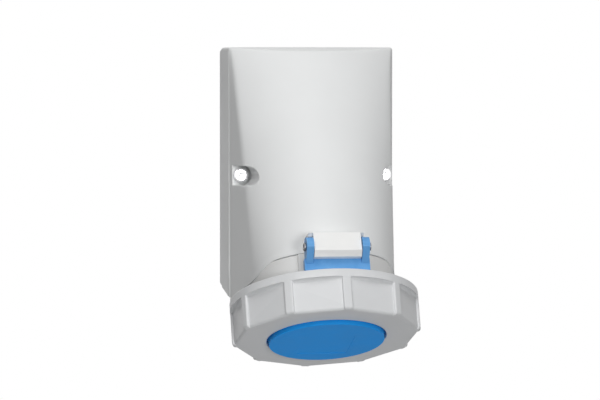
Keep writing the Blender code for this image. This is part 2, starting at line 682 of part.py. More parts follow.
def make_hinge_pin():
    length = EAR_OUTER + CLEARANCE
    profile = [(0, -length - PIN_HEAD_LENGTH), (PIN_HEAD_RADIUS, -length - PIN_HEAD_LENGTH),
               (PIN_HEAD_RADIUS, -length), (PIN_RADIUS, -length), (PIN_RADIUS, length),
               (PIN_HEAD_RADIUS, length), (PIN_HEAD_RADIUS, length + PIN_HEAD_LENGTH),
               (0, length + PIN_HEAD_LENGTH)]
    return turned("hinge_pin", profile, closed=False, steps=SMALL_STEPS, material=pin_steel,
                  parent=outlet_axis, location=(0, PIN_DISTANCE, PIN_PLANE), rotation=(0, pi / 2, 0))


# Contacts

def contact_place(contact):
    return polar(CONTACT_CIRCLE_RADIUS, contact["angle"])


def make_contact_carrier():
    disc_top = BORE_BACK - CLEARANCE - CARRIER_FLANGE
    disc_end = BORE_BACK - CLEARANCE + CARRIER_DISC
    edge = 0.0005
    profile = [(0, disc_top), (CARRIER_FLANGE_RADIUS, disc_top), (CARRIER_FLANGE_RADIUS, BORE_BACK - CLEARANCE),
               (BORE_RADIUS - CLEARANCE, BORE_BACK - CLEARANCE), (BORE_RADIUS - CLEARANCE, disc_end),
               (CARRIER_RADIUS, disc_end), (CARRIER_RADIUS, CARRIER_FACE - edge),
               (CARRIER_RADIUS - edge, CARRIER_FACE), (0, CARRIER_FACE)]
    carrier = turned("contact_carrier", profile, closed=False, steps=40, material=carrier_blue,
                     parent=outlet_axis)
    for word, contact in CONTACTS.items():
        x, y = contact_place(contact)
        lip = CARRIER_FACE - CONTACT_LIP
        entry = rod("entry_" + word, (x, y, lip - 0.001), (x, y, CARRIER_FACE + 0.001),
                    contact["bore"] + PIN_ENTRY_CLEARANCE, parent=outlet_axis)
        well = rod("well_" + word, (x, y, disc_top - 0.001), (x, y, lip),
                   contact["bore"] + SLEEVE_WALL + CLEARANCE, parent=outlet_axis)
        cut(carrier, entry, well)
    return carrier


def make_contact(word, contact):
    x, y = contact_place(contact)
    outer = contact["bore"] + SLEEVE_WALL
    mouth = CARRIER_FACE - CONTACT_LIP - CLEARANCE
    back = BORE_BACK - 2 * CLEARANCE - CARRIER_FLANGE
    floor = mouth - 0.022
    profile = [(0, back - 0.002), (outer, back - 0.002), (outer, mouth), (contact["bore"], mouth),
               (contact["bore"], floor), (0, floor)]
    sleeve = turned("contact_" + word, profile, closed=False, steps=SMALL_STEPS, material=contact_brass,
                    parent=outlet_axis, location=(x, y, 0))
    half = TERMINAL_WIDTH / 2
    block = box("terminal_block_" + word, (-half, -half, back - TERMINAL_LENGTH), (half, half, back),
                parent=outlet_axis, location=(x, y, 0), rotation=(0, 0, -contact["angle"]))
    hole = rod("terminal_hole_" + word, (0, half + 0.001, back - TERMINAL_LENGTH / 2),
               (0, half - TERMINAL_SCREW_DEPTH, back - TERMINAL_LENGTH / 2),
               TERMINAL_SCREW_RADIUS + CLEARANCE, parent=outlet_axis, location=(x, y, 0),
               rotation=(0, 0, -contact["angle"]))
    join(sleeve, block)
    cut(sleeve, hole)
    seat_x, seat_y = polar(CONTACT_CIRCLE_RADIUS + half + CLEARANCE, contact["angle"])
    make_screw("terminal_screw_" + word, TERMINAL_SCREW_DEPTH - CLEARANCE, screw_plating, steps=12,
               radius=TERMINAL_SCREW_RADIUS, head_radius=TERMINAL_SCREW_HEAD_RADIUS,
               head_height=TERMINAL_SCREW_HEAD_HEIGHT, parent=outlet_axis,
               location=(seat_x, seat_y, back - TERMINAL_LENGTH / 2),
               rotation=(-pi / 2, 0, -contact["angle"]))


# Lid

def make_lid():
    face_end = LID_FLANGE_END + LID_FACE_HEIGHT
    profile = [(0, LID_TOP), (LID_RADIUS, LID_TOP), (LID_RADIUS, LID_FLANGE_END),
               (LID_FACE_RADIUS, LID_FLANGE_END), (LID_FACE_RADIUS, face_end - LID_FACE_CHAMFER),
               (LID_FACE_RADIUS - LID_FACE_CHAMFER, face_end), (0, face_end)]
    lid = turned("lid", profile, closed=False, material=lid_blue, parent=lid_pivot, location=pivot_offset)
    arm = [(ARM_INNER_RADIUS, CROSSBAR_TOP + 0.002), (ARM_INNER_RADIUS + ARM_WALL, CROSSBAR_TOP + 0.002),
           (ARM_INNER_RADIUS + ARM_WALL, LID_FLANGE_END - 0.0005), (ARM_INNER_RADIUS, LID_FLANGE_END - 0.0005)]
    join(lid, sector("lid_arm", arm, 0, ARM_HALF_ANGLE, 10, parent=lid_pivot, location=pivot_offset))
    back = ARM_INNER_RADIUS
    front = ARM_INNER_RADIUS + ARM_WALL + 0.0008
    bar = box("lid_crossbar", (-EAR_OUTER, back, CROSSBAR_TOP), (EAR_OUTER, front, CROSSBAR_END),
              parent=lid_pivot, location=pivot_offset)
    join(lid, bar)
    round_end = arc((PIN_DISTANCE, PIN_PLANE), EAR_RADIUS, radians(20), radians(-200), 14)
    outline = [(front - 0.0001, CROSSBAR_TOP + 0.003), *round_end, (back + 0.0001, CROSSBAR_TOP + 0.001),
               (back + 0.0001, CROSSBAR_TOP + 0.003)]
    for start, word in ((-EAR_OUTER + 0.00002, "left"), (EAR_INNER, "right")):
        ear = prism("lid_ear_" + word, [(start, y, z) for y, z in outline], (EAR_WIDTH - 0.00002, 0, 0),
                    parent=lid_pivot, location=pivot_offset)
        join(lid, ear)
    cut(lid, rod("ear_bore", (-0.03, PIN_DISTANCE, PIN_PLANE), (0.03, PIN_DISTANCE, PIN_PLANE),
                 PIN_RADIUS + CLEARANCE, parent=lid_pivot, location=pivot_offset))
    return lid


def make_lid_seal():
    inner = LID_SEAL_RADIUS - LID_SEAL_WIDTH / 2
    outer = LID_SEAL_RADIUS + LID_SEAL_WIDTH / 2
    start = SKIRT_END + CLEARANCE
    end = start + LID_SEAL_HEIGHT
    profile = [(inner, start), (outer, start), (outer, end), (inner, end)]
    return turned("lid_seal", profile, steps=60, material=seal_black, parent=lid_pivot, location=pivot_offset)


# Bayonet ring

def make_bayonet_ring():
    hole = LID_FACE_RADIUS + CLEARANCE
    top_round = arc((RING_RADIUS - RING_EDGE_ROUND, RING_EDGE_ROUND), RING_EDGE_ROUND, 0, -pi / 2, 3)
    profile = [(RING_RADIUS, RIB_END), *top_round, (RING_INNER_RADIUS, 0),
               (RING_INNER_RADIUS, RING_FLOOR_TOP), (hole, RING_FLOOR_TOP), (hole, RING_END),
               (RING_RADIUS - RING_FOOT_CHAMFER, RING_END),
               (RING_RADIUS - RING_FOOT_CHAMFER * 0.3, (RIB_END + RING_END) / 2)]
    ring = turned("bayonet_ring", profile, steps=80, material=ring_grey, parent=ring_pivot)
    panel_distance = RING_RADIUS * cos(pi / RIB_COUNT)
    panel_half = RING_RADIUS * sin(pi / RIB_COUNT) - RIB_WIDTH / 2
    for index in range(RIB_COUNT):
        middle = RIB_PHASE + 2 * pi * (index + 0.5) / RIB_COUNT
        panel = box("grip_panel_%d" % index, (-panel_half, panel_distance, RING_RIM_HEIGHT),
                    (panel_half, RING_RADIUS + CUT_OVERRUN, RING_END + CUT_OVERRUN),
                    parent=ring_pivot, rotation=(0, 0, -middle))
        cut(ring, panel)
    cam = [(CAM_INNER_RADIUS, CAM_START), (RING_INNER_RADIUS + 0.001, CAM_START),
           (RING_INNER_RADIUS + 0.001, CAM_END), (CAM_INNER_RADIUS, CAM_END)]
    for index, angle in enumerate(CAM_ANGLES):
        join(ring, sector("cam_%d" % index, cam, angle, CAM_HALF_ANGLE, 6, parent=ring_pivot))
    lip_inner = RING_INNER_RADIUS - LIP_HEIGHT
    lip_end = LID_TOP - CLEARANCE
    lip = [(lip_inner, lip_end - LIP_WALL), (RING_INNER_RADIUS + 0.001, lip_end - LIP_WALL),
           (RING_INNER_RADIUS + 0.001, lip_end), (lip_inner, lip_end)]
    for index, angle in enumerate(LIP_ANGLES):
        join(ring, sector("lip_%d" % index, lip, angle, LIP_HALF_ANGLE, 5, parent=ring_pivot))
    return ring


make_base_plate()
make_cover_seal()
make_front_cover()
make_cover_screws()
make_socket_body()
make_socket_screws()
make_hinge_pin()
make_contact_carrier()
for contact_name, contact_sizes in CONTACTS.items():
    make_contact(contact_name, contact_sizes)
make_lid()
make_lid_seal()
make_bayonet_ring()
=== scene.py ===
import math
import bpy
from mathutils import Matrix, Vector


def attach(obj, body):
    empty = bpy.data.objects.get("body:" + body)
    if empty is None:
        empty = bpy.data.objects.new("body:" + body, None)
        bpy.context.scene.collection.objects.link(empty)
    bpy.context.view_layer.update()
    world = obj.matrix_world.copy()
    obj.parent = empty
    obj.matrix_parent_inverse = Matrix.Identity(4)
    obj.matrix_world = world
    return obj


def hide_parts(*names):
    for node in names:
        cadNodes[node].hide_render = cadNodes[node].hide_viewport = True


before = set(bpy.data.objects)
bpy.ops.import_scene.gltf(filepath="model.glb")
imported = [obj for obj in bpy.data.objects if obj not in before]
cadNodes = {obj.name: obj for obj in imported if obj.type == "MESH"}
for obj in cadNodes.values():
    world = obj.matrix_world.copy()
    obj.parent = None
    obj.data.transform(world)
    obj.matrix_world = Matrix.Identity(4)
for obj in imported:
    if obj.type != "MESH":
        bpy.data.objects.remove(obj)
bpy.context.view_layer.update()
bpy.ops.object.select_all(action="DESELECT")
print("frame loaded:", len(cadNodes), "nodes")

# the camera stands a little to the left of the socket and looks slightly down
cameraFacts = {
    "aim": (0, -0.040, -0.005),
    "azimuth": -10.053,
    "elevation": 1.652,
    "distance": 2.0,
    "lens": 223.6,
    "shift": (-0.0233, -0.0372),
    "clip": (0.05, 50),
}


def addCamera(facts):
    turn, lift = math.radians(facts["azimuth"]), math.radians(facts["elevation"])
    back = Vector((math.sin(turn) * math.cos(lift), -math.cos(turn) * math.cos(lift), math.sin(lift)))
    bpy.ops.object.camera_add(location=Vector(facts["aim"]) + back * facts["distance"])
    camera = bpy.context.object
    camera.rotation_mode = "QUATERNION"
    camera.rotation_quaternion = (-back).to_track_quat("-Z", "Y")
    camera.data.lens = facts["lens"]
    camera.data.shift_x, camera.data.shift_y = facts["shift"]
    camera.data.clip_start, camera.data.clip_end = facts["clip"]
    bpy.context.scene.camera = camera


addCamera(cameraFacts)

# soft studio: large lamps, each given by its direction from the socket, under a sky that gives no light
studioFacts = {
    "skyStrength": 0.0,
    "lamps": [
        {"name": "highLamp", "azimuth": -8, "elevation": 58, "distance": 2.2, "size": 1.1, "power": 18},
        {"name": "leftLamp", "azimuth": -30, "elevation": 25, "distance": 2.2, "size": 0.8, "power": 11.5},
        {"name": "frontLamp", "azimuth": 8, "elevation": 3, "distance": 2.2, "size": 0.45, "power": 16.5},
        {"name": "topLamp", "azimuth": 0, "elevation": 86, "distance": 1.9, "size": 1.2, "power": 5},
        {"name": "backLamp", "azimuth": -150, "elevation": 60, "distance": 2.2, "size": 1.0, "power": 4},
    ],
    "lookAt": (0, -0.05, -0.02),
    "floorHeight": -0.42,
    "floorSize": 1.8,
    "floorColour": (0.80, 0.80, 0.80, 1),
    "floorRoughness": 0.9,
}


def addStudio(facts):
    world = bpy.data.worlds.new("studioSky")
    bpy.context.scene.world = world
    world.use_nodes = True
    nodes, links = world.node_tree.nodes, world.node_tree.links
    sky = nodes["Background"]
    sky.inputs["Color"].default_value = (1, 1, 1, 1)
    sky.inputs["Strength"].default_value = facts["skyStrength"]
    backdrop = nodes.new("ShaderNodeBackground")  # white where the camera sees past the object
    backdrop.inputs["Color"].default_value = (1, 1, 1, 1)
    ray = nodes.new("ShaderNodeLightPath")
    seen = ray.outputs["Is Camera Ray"]
    for kind in ("Is Transmission Ray", "Is Glossy Ray"):
        either = nodes.new("ShaderNodeMath")
        either.operation = "MAXIMUM"
        links.new(seen, either.inputs[0])
        links.new(ray.outputs[kind], either.inputs[1])
        seen = either.outputs[0]
    mix = nodes.new("ShaderNodeMixShader")
    links.new(seen, mix.inputs[0])
    links.new(sky.outputs[0], mix.inputs[1])
    links.new(backdrop.outputs[0], mix.inputs[2])
    links.new(mix.outputs[0], nodes["World Output"].inputs["Surface"])
    for lamp in facts["lamps"]:
        turn, lift = math.radians(lamp["azimuth"]), math.radians(lamp["elevation"])
        away = Vector((math.sin(turn) * math.cos(lift), -math.cos(turn) * math.cos(lift), math.sin(lift)))
        bpy.ops.object.light_add(type="AREA", location=Vector(facts["lookAt"]) + away * lamp["distance"])
        light = bpy.context.object
        light.name = lamp["name"]
        light.data.size = lamp["size"]
        light.data.energy = lamp["power"]
        light.rotation_euler = (-away).to_track_quat("-Z", "Y").to_euler()
    bpy.ops.mesh.primitive_plane_add(size=facts["floorSize"], location=(0, 0, facts["floorHeight"]))
    floor = bpy.context.object
    floor.name = "studioFloor"
    material = bpy.data.materials.new("floorPaint")
    material.use_nodes = True
    nodes, links = material.node_tree.nodes, material.node_tree.links
    nodes["Principled BSDF"].inputs["Base Color"].default_value = facts["floorColour"]
    nodes["Principled BSDF"].inputs["Roughness"].default_value = facts["floorRoughness"]
    side = nodes.new("ShaderNodeNewGeometry")  # from below, the floor is seen through
    clear = nodes.new("ShaderNodeBsdfTransparent")
    mix = nodes.new("ShaderNodeMixShader")
    links.new(side.outputs["Backfacing"], mix.inputs[0])
    links.new(nodes["Principled BSDF"].outputs[0], mix.inputs[1])
    links.new(clear.outputs[0], mix.inputs[2])
    links.new(mix.outputs[0], nodes["Material Output"].inputs["Surface"])
    floor.data.materials.append(material)


addStudio(studioFacts)
print("camera and studio set")

# the outlet leans forward: its own frame has X right, Y to the front and Z out of the mouth
outletFacts = {
    "depth": 0.0695,
    "drop": 0.0683,
    "tilt": math.radians(22),
    "hinge": (0.0475, -0.0125),
    "hingeBore": 0.0018,
}
outletPlace = (Matrix.Translation((0, -outletFacts["depth"], -outletFacts["drop"])) @
               Matrix.Rotation(math.pi - outletFacts["tilt"], 4, "X"))
wallPlace = Matrix.Identity(4)
hair = 0.0001  # slack in tests of place, and the step between faces that shouldn't coincide
overlap = 0.0005  # how far parts of one piece run into each other
tiny = 0.000001  # points this close are one


def around(radius, angle):  # a point on a turn of the outlet, from the front towards +X
    return radius * math.sin(angle), radius * math.cos(angle)


def toWorld(x, y, z):
    return outletPlace @ Vector((x, y, z))


def clearSelection():
    if bpy.context.object and bpy.context.object.mode != "OBJECT":
        bpy.ops.object.mode_set(mode="OBJECT")
    bpy.ops.object.select_all(action="DESELECT")


def onlyThis(piece):
    clearSelection()
    piece.select_set(True)
    bpy.context.view_layer.objects.active = piece


def settle(piece):  # the place, turn and size go into the mesh
    onlyThis(piece)
    bpy.ops.object.transform_apply(location=True, rotation=True, scale=True)


def pick(piece, kind, test):  # opens the piece with the vertices, edges or faces that pass the test selected
    onlyThis(piece)
    bpy.ops.object.mode_set(mode="EDIT")
    bpy.ops.mesh.select_mode(type=kind)
    bpy.ops.mesh.select_all(action="DESELECT")
    bpy.ops.object.mode_set(mode="OBJECT")
    mesh = piece.data
    points = mesh.vertices
    if kind == "VERT":
        for point in points:
            point.select = test(point.co)
    elif kind == "EDGE":
        for edge in mesh.edges:
            a, b = (points[i].co for i in edge.vertices)
            edge.select = test(a, b)
    else:
        for face in mesh.polygons:
            face.select = test(face.center, face.normal)
    bpy.ops.object.mode_set(mode="EDIT")


def drawLine(name, points, close=False):  # one point, extruded along the line
    clearSelection()
    bpy.ops.mesh.primitive_plane_add(size=0.001, location=points[0])
    piece = bpy.context.object
    piece.name = piece.data.name = name
    bpy.ops.object.mode_set(mode="EDIT")
    bpy.ops.mesh.select_mode(type="VERT")
    bpy.ops.mesh.select_all(action="SELECT")
    bpy.ops.mesh.merge(type="CENTER")
    for start, end in zip(points, points[1:]):
        bpy.ops.mesh.extrude_region_move(TRANSFORM_OT_translate={"value": Vector(end) - Vector(start)})
    if close:
        bpy.ops.mesh.select_all(action="SELECT")
        bpy.ops.mesh.edge_face_add()
    bpy.ops.object.mode_set(mode="OBJECT")
    settle(piece)
    return piece


def roundCorners(piece, test, size, segments):
    pick(piece, "VERT", test)
    bpy.ops.mesh.bevel(offset=size, segments=segments, affect="VERTICES")
    bpy.ops.object.mode_set(mode="OBJECT")


def roundEdges(piece, test, size, segments):
    pick(piece, "EDGE", test)
    bpy.ops.mesh.bevel(offset=size, segments=segments)
    bpy.ops.object.mode_set(mode="OBJECT")


def faceOut():  # leaves edit mode with all normals turned outward
    bpy.ops.mesh.select_all(action="SELECT")
    bpy.ops.mesh.normals_make_consistent(inside=False)
    bpy.ops.object.mode_set(mode="OBJECT")


def turnProfile(piece, steps, angle=2 * math.pi, start=0.0):  # spins the outline about the Z axis
    onlyThis(piece)
    bpy.ops.object.mode_set(mode="EDIT")
    bpy.ops.mesh.select_all(action="SELECT")
    whole = abs(angle) > 2 * math.pi - hair
    if whole:
        bpy.ops.mesh.delete(type="ONLY_FACE")
        bpy.ops.mesh.select_all(action="SELECT")
    if start:
        piece.rotation_euler.z = start
        bpy.ops.object.mode_set(mode="OBJECT")
        settle(piece)
        bpy.ops.object.mode_set(mode="EDIT")
    bpy.ops.mesh.spin(steps=steps, angle=angle, center=(0, 0, 0), axis=(0, 0, 1))
    bpy.ops.mesh.select_all(action="SELECT")
    bpy.ops.mesh.remove_doubles(threshold=tiny)
    faceOut()


def thicken(piece, move):  # a flat outline becomes a slab
    onlyThis(piece)
    bpy.ops.object.mode_set(mode="EDIT")
    bpy.ops.mesh.select_all(action="SELECT")
    bpy.ops.mesh.extrude_region_move(TRANSFORM_OT_translate={"value": Vector(move)})
    faceOut()


def useModifier(piece, kind, **values):
    onlyThis(piece)
    step = piece.modifiers.new(kind.lower(), kind)
    for key, value in values.items():
        setattr(step, key, value)
    bpy.ops.object.modifier_apply(modifier=step.name)


def softenEdges(piece, width, segments=3, angle=30):
    useModifier(piece, "BEVEL", width=width, segments=segments, limit_method="ANGLE",
                angle_limit=math.radians(angle), harden_normals=False, use_clamp_overlap=True)


def softenSome(piece, width, segments, angle, test):  # only the sharp edges that pass the test
    onlyThis(piece)
    bpy.ops.object.mode_set(mode="EDIT")
    bpy.ops.mesh.select_mode(type="EDGE")
    bpy.ops.mesh.select_all(action="DESELECT")
    bpy.ops.mesh.edges_select_sharp(sharpness=math.radians(angle))
    bpy.ops.object.mode_set(mode="OBJECT")
    points = piece.data.vertices
    kept = {edge.index for edge in piece.data.edges
            if edge.select and test(*(points[i].co for i in edge.vertices))}
    for point in points:
        point.select = False
    for face in piece.data.polygons:
        face.select = False
    for edge in piece.data.edges:
        edge.select = edge.index in kept
    bpy.ops.object.mode_set(mode="EDIT")
    bpy.ops.mesh.bevel(offset=width, segments=segments, clamp_overlap=True)
    bpy.ops.object.mode_set(mode="OBJECT")


def takeAway(piece, tool):
    useModifier(piece, "BOOLEAN", operation="DIFFERENCE", solver="EXACT", object=tool)
    bpy.data.objects.remove(tool)


def weld(piece, other):
    useModifier(piece, "BOOLEAN", operation="UNION", solver="EXACT", object=other)
    bpy.data.objects.remove(other)


def joinPieces(piece, others):
    clearSelection()
    for other in others:
        other.select_set(True)
    piece.select_set(True)
    bpy.context.view_layer.objects.active = piece
    bpy.ops.object.join()


def makeBlock(middle, size, turn=0):
    bpy.ops.object.select_all(action="DESELECT")
    bpy.ops.mesh.primitive_cube_add(size=1, location=middle)
    block = bpy.context.object
    block.scale = size
    block.rotation_euler.z = turn
    settle(block)
    return block


def makeRod(name, radius, length, middle, steps=32):  # a plain rod along X, for bores
    bpy.ops.object.select_all(action="DESELECT")
    bpy.ops.mesh.primitive_cylinder_add(vertices=steps, radius=radius, depth=length, location=middle,
                                        rotation=(0, math.pi / 2, 0))
    rod = bpy.context.object
    rod.name = name
    settle(rod)
    return rod


def place(piece, where, body, material, nodes=(), angle=35, flats=True):
    piece.matrix_world = where @ piece.matrix_world
    settle(piece)
    onlyThis(piece)
    bpy.ops.object.shade_smooth_by_angle(angle=math.radians(angle))
    if flats:  # large faces keep their own normal beside a rounded edge
        useModifier(piece, "WEIGHTED_NORMAL", keep_sharp=True, weight=60)
    if material:  # a piece of two finishes comes with them
        piece.data.materials.clear()
        piece.data.materials.append(material)
    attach(piece, body)
    if nodes:
        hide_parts(*nodes)
    return piece


# effects that several finishes share
def startGroup(name, inputs, outputs):
    group = bpy.data.node_groups.new(name, "ShaderNodeTree")
    for label, value in inputs:
        socket = group.interface.new_socket(name=label, in_out="INPUT", socket_type="NodeSocketFloat")
        socket.default_value = value
    for label, kind in outputs:
        group.interface.new_socket(name=label, in_out="OUTPUT", socket_type=kind)
    return group, group.nodes.new("NodeGroupInput"), group.nodes.new("NodeGroupOutput")


def buildMouldGroup():  # cloudy tone and fine grain of a moulded surface
    group, start, end = startGroup("mouldedSurface", [("Grain Scale", 2200), ("Cloud Scale", 28)],
                                   [("Grain", "NodeSocketFloat"), ("Cloud", "NodeSocketFloat")])
    nodes, links = group.nodes, group.links
    coords = nodes.new("ShaderNodeTexCoord")
    grain = nodes.new("ShaderNodeTexNoise")
    grain.inputs["Detail"].default_value = 3
    links.new(coords.outputs["Object"], grain.inputs["Vector"])
    links.new(start.outputs["Grain Scale"], grain.inputs["Scale"])
    links.new(grain.outputs["Fac"], end.inputs["Grain"])
    cloud = nodes.new("ShaderNodeTexNoise")
    cloud.inputs["Detail"].default_value = 4
    cloud.inputs["Roughness"].default_value = 0.55
    links.new(coords.outputs["Object"], cloud.inputs["Vector"])
    links.new(start.outputs["Cloud Scale"], cloud.inputs["Scale"])
    spread = nodes.new("ShaderNodeMapRange")
    spread.inputs["From Min"].default_value = 0.35
    spread.inputs["From Max"].default_value = 0.65
    links.new(cloud.outputs["Fac"], spread.inputs["Value"])
    links.new(spread.outputs["Result"], end.inputs["Cloud"])
    return group


def buildEdgeWearAndHighlightGroup():  # 1 on sharp edges, broken up by noise, 0 elsewhere: the mask for edge wear and a painted highlight along the edges
    group, start, end = startGroup("edgeWearAndHighlight", [("Low", 0.53), ("High", 0.62), ("Break Up", 160)],
                                   [("Wear And Highlight", "NodeSocketFloat")])
    nodes, links = group.nodes, group.links
    shape = nodes.new("ShaderNodeNewGeometry")
    coords = nodes.new("ShaderNodeTexCoord")
    noise = nodes.new("ShaderNodeTexNoise")
    links.new(coords.outputs["Object"], noise.inputs["Vector"])
    links.new(start.outputs["Break Up"], noise.inputs["Scale"])
    edge = nodes.new("ShaderNodeMapRange")
    links.new(shape.outputs["Pointiness"], edge.inputs["Value"])
    links.new(start.outputs["Low"], edge.inputs["From Min"])
    links.new(start.outputs["High"], edge.inputs["From Max"])
    both = nodes.new("ShaderNodeMath")
    both.operation = "MULTIPLY"
    links.new(edge.outputs["Result"], both.inputs[0])
    links.new(noise.outputs["Fac"], both.inputs[1])
    links.new(both.outputs[0], end.inputs["Wear And Highlight"])
    return group


mouldedSurface = buildMouldGroup()
edgeWearAndHighlight = buildEdgeWearAndHighlightGroup()
grainDepth = 0.00003


def shiftedColour(colour, change):
    return tuple(max(0, min(1, c * change)) for c in colour) + (1,)


def startFinish(name, facts):  # the cloudy tone and uneven gloss that every finish starts from
    material = bpy.data.materials.new(name)
    material.use_nodes = True
    nodes, links = material.node_tree.nodes, material.node_tree.links
    surface = nodes.new("ShaderNodeGroup")
    surface.node_tree = mouldedSurface
    surface.inputs["Grain Scale"].default_value = facts["grainScale"]
    surface.inputs["Cloud Scale"].default_value = facts["cloudScale"]
    tone = nodes.new("ShaderNodeMix")
    tone.data_type = "RGBA"
    tone.inputs["A"].default_value = shiftedColour(facts["colour"], 1 - facts["toneRange"])
    tone.inputs["B"].default_value = shiftedColour(facts["colour"], 1 + facts["toneRange"])
    links.new(surface.outputs["Cloud"], tone.inputs["Factor"])
    rough = nodes.new("ShaderNodeMapRange")
    rough.inputs["To Min"].default_value = facts["roughness"] - facts["roughRange"]
    rough.inputs["To Max"].default_value = facts["roughness"] + facts["roughRange"]
    links.new(rough.outputs["Result"], nodes["Principled BSDF"].inputs["Roughness"])
    return material, surface, tone, rough


def makePlastic(name, facts):
    material, surface, tone, rough = startFinish(name, facts)
    nodes, links = material.node_tree.nodes, material.node_tree.links
    shader = nodes["Principled BSDF"]
    shader.inputs["Specular IOR Level"].default_value = facts["gloss"]
    # sharp edges take the edge colour: edge wear together with a painted highlight where light catches the
    # edges
    wearAndHighlight = nodes.new("ShaderNodeGroup")
    wearAndHighlight.node_tree = edgeWearAndHighlight
    wornAndLit = nodes.new("ShaderNodeMix")
    wornAndLit.data_type = "RGBA"
    wornAndLit.inputs["B"].default_value = (*facts["edgeColour"], 1)
    links.new(tone.outputs["Result"], wornAndLit.inputs["A"])
    links.new(wearAndHighlight.outputs["Wear And Highlight"], wornAndLit.inputs["Factor"])
    links.new(wornAndLit.outputs["Result"], shader.inputs["Base Color"])
    links.new(surface.outputs["Cloud"], rough.inputs["Value"])
    bump = nodes.new("ShaderNodeBump")
    bump.inputs["Strength"].default_value = facts["grain"]
    bump.inputs["Distance"].default_value = grainDepth
    links.new(surface.outputs["Grain"], bump.inputs["Height"])
    links.new(bump.outputs["Normal"], shader.inputs["Normal"])
    return material


# each edgeColour is painted along its finish's sharp edges; the lighter ones are a painted highlight, together
# with edge wear
housingPlastic = makePlastic("housingPlastic", {
    "colour": (0.79, 0.80, 0.80), "edgeColour": (1.0, 1.0, 1.0), "toneRange": 0.012, "roughness": 0.42,
    "roughRange": 0.03, "grain": 0.25, "grainScale": 2400, "cloudScale": 26, "gloss": 0.18})
ringPlastic = makePlastic("ringPlastic", {
    "colour": (0.69, 0.70, 0.71), "edgeColour": (0.93, 0.93, 0.94), "toneRange": 0.014, "roughness": 0.36,
    "roughRange": 0.04, "grain": 0.2, "grainScale": 2600, "cloudScale": 34, "gloss": 0.2})
bodyPlastic = makePlastic("bodyPlastic", {
    "colour": (0.77, 0.77, 0.76), "edgeColour": (0.84, 0.84, 0.83), "toneRange": 0.014, "roughness": 0.40,
    "roughRange": 0.03, "grain": 0.25, "grainScale": 2400, "cloudScale": 30, "gloss": 0.2})
# the knuckle is moulded in the cover's grey; this copy is painted lighter and glossier as a painted highlight,
# with near-white painted highlights on its edges
litKnucklePlastic = makePlastic("litKnucklePlastic", {
    "colour": (0.82, 0.82, 0.81), "edgeColour": (0.98, 0.98, 0.98), "toneRange": 0.01, "roughness": 0.38,
    "roughRange": 0.03, "grain": 0.2, "grainScale": 2400, "cloudScale": 40, "gloss": 0.35})
# the lid is one blue plastic in two copies: the arm a paler blue and the face a deeper, brighter blue, painted
# light for how each is lit
lidPlastic = makePlastic("lidPlastic", {
    "colour": (0.085, 0.30, 0.66), "edgeColour": (0.17, 0.42, 0.76), "toneRange": 0.03, "roughness": 0.34,
    "roughRange": 0.04, "grain": 0.2, "grainScale": 2600, "cloudScale": 36, "gloss": 0.15})
lidFacePlasticLitCopy = makePlastic("lidFacePlasticLitCopy", {
    "colour": (0.022, 0.34, 0.90), "edgeColour": (0.024, 0.345, 0.90), "toneRange": 0.03, "roughness": 0.4,
    "roughRange": 0.04, "grain": 0.2, "grainScale": 2600, "cloudScale": 36, "gloss": 0.05})
carrierPlastic = makePlastic("carrierPlastic", {
    "colour": (0.04, 0.16, 0.38), "edgeColour": (0.08, 0.22, 0.46), "toneRange": 0.03, "roughness": 0.5,
    "roughRange": 0.05, "grain": 0.3, "grainScale": 2000, "cloudScale": 50, "gloss": 0.3})
sealRubber = makePlastic("sealRubber", {
    "colour": (0.03, 0.03, 0.032), "edgeColour": (0.06, 0.06, 0.06), "toneRange": 0.12, "roughness": 0.72,
    "roughRange": 0.06, "grain": 0.5, "grainScale": 1500, "cloudScale": 60, "gloss": 0.3})


def makeMetal(name, facts):
    material, surface, tone, rough = startFinish(name, facts)
    links, shader = material.node_tree.links, material.node_tree.nodes["Principled BSDF"]
    shader.inputs["Metallic"].default_value = 1
    links.new(tone.outputs["Result"], shader.inputs["Base Color"])
    links.new(surface.outputs["Grain"], rough.inputs["Value"])
    return material


screwMetal = makeMetal("screwMetal", {"colour": (0.93, 0.93, 0.94), "toneRange": 0.02, "roughness": 0.22,
                                      "roughRange": 0.06, "grainScale": 1800, "cloudScale": 300})
# the pin's steel is painted dark so that its hollow riveted ends look dark: painted shade
darkenedPinMetal = makeMetal("darkenedPinMetal", {"colour": (0.22, 0.22, 0.23), "toneRange": 0.05, "roughness": 0.36,
                                  "roughRange": 0.08, "grainScale": 1800, "cloudScale": 300})
contactBrass = makeMetal("contactBrass", {"colour": (0.80, 0.62, 0.30), "toneRange": 0.05, "roughness": 0.3,
                                          "roughRange": 0.08, "grainScale": 1500, "cloudScale": 200})
print("finishes made")

# the bayonet ring: a turned cup with ten grips left between flat panels
ringFacts = {
    "radius": 0.050,
    "wallRadius": 0.045,
    "hole": 0.0316,
    "floorTop": 0.0198,
    "end": 0.0222,
    "topRound": 0.0006,
    "holeRound": 0.0005,
    "footRound": 0.0017,
    "rimHeight": 0.0042,
    "panelDistance": 0.04695,
    "panelCove": 0.0018,
    "grips": 10,
    "gripPhase": math.radians(4.1),
    "gripHalf": math.radians(2.85),
    "gripEdge": 0.0008,
    "gripRoot": 0.002,
    "gripTop": 0.0015,
    "cutterDepth": 0.006,
    "cutterExtra": 0.003,
    "camPlaces": (90, 270),
    "camInner": 0.0384,
    "cam": (0.0015, 0.0054),
    "camHalf": math.radians(13.5),
    "camEdge": 0.0004,
    "lipPlaces": (90, 180, 270),
    "lipInner": 0.0425,
    "lip": (0.0153, 0.0163),
    "lipHalf": math.radians(10),
}


def copyTurned(piece, angle):  # a copy with its own mesh, turned about the outlet's axis
    onlyThis(piece)
    bpy.ops.object.duplicate()
    copy = bpy.context.object
    copy.matrix_world = Matrix.Rotation(-angle, 4, "Z") @ copy.matrix_world
    settle(copy)
    return copy


def partRing(name, inner, outer, low, high, middle, half, steps=12):  # part of a turn with a square section
    piece = drawLine(name, [(0, inner, low), (0, outer, low), (0, outer, high), (0, inner, high)], close=True)
    turnProfile(piece, steps, angle=-2 * half, start=-(middle + half))
    return piece


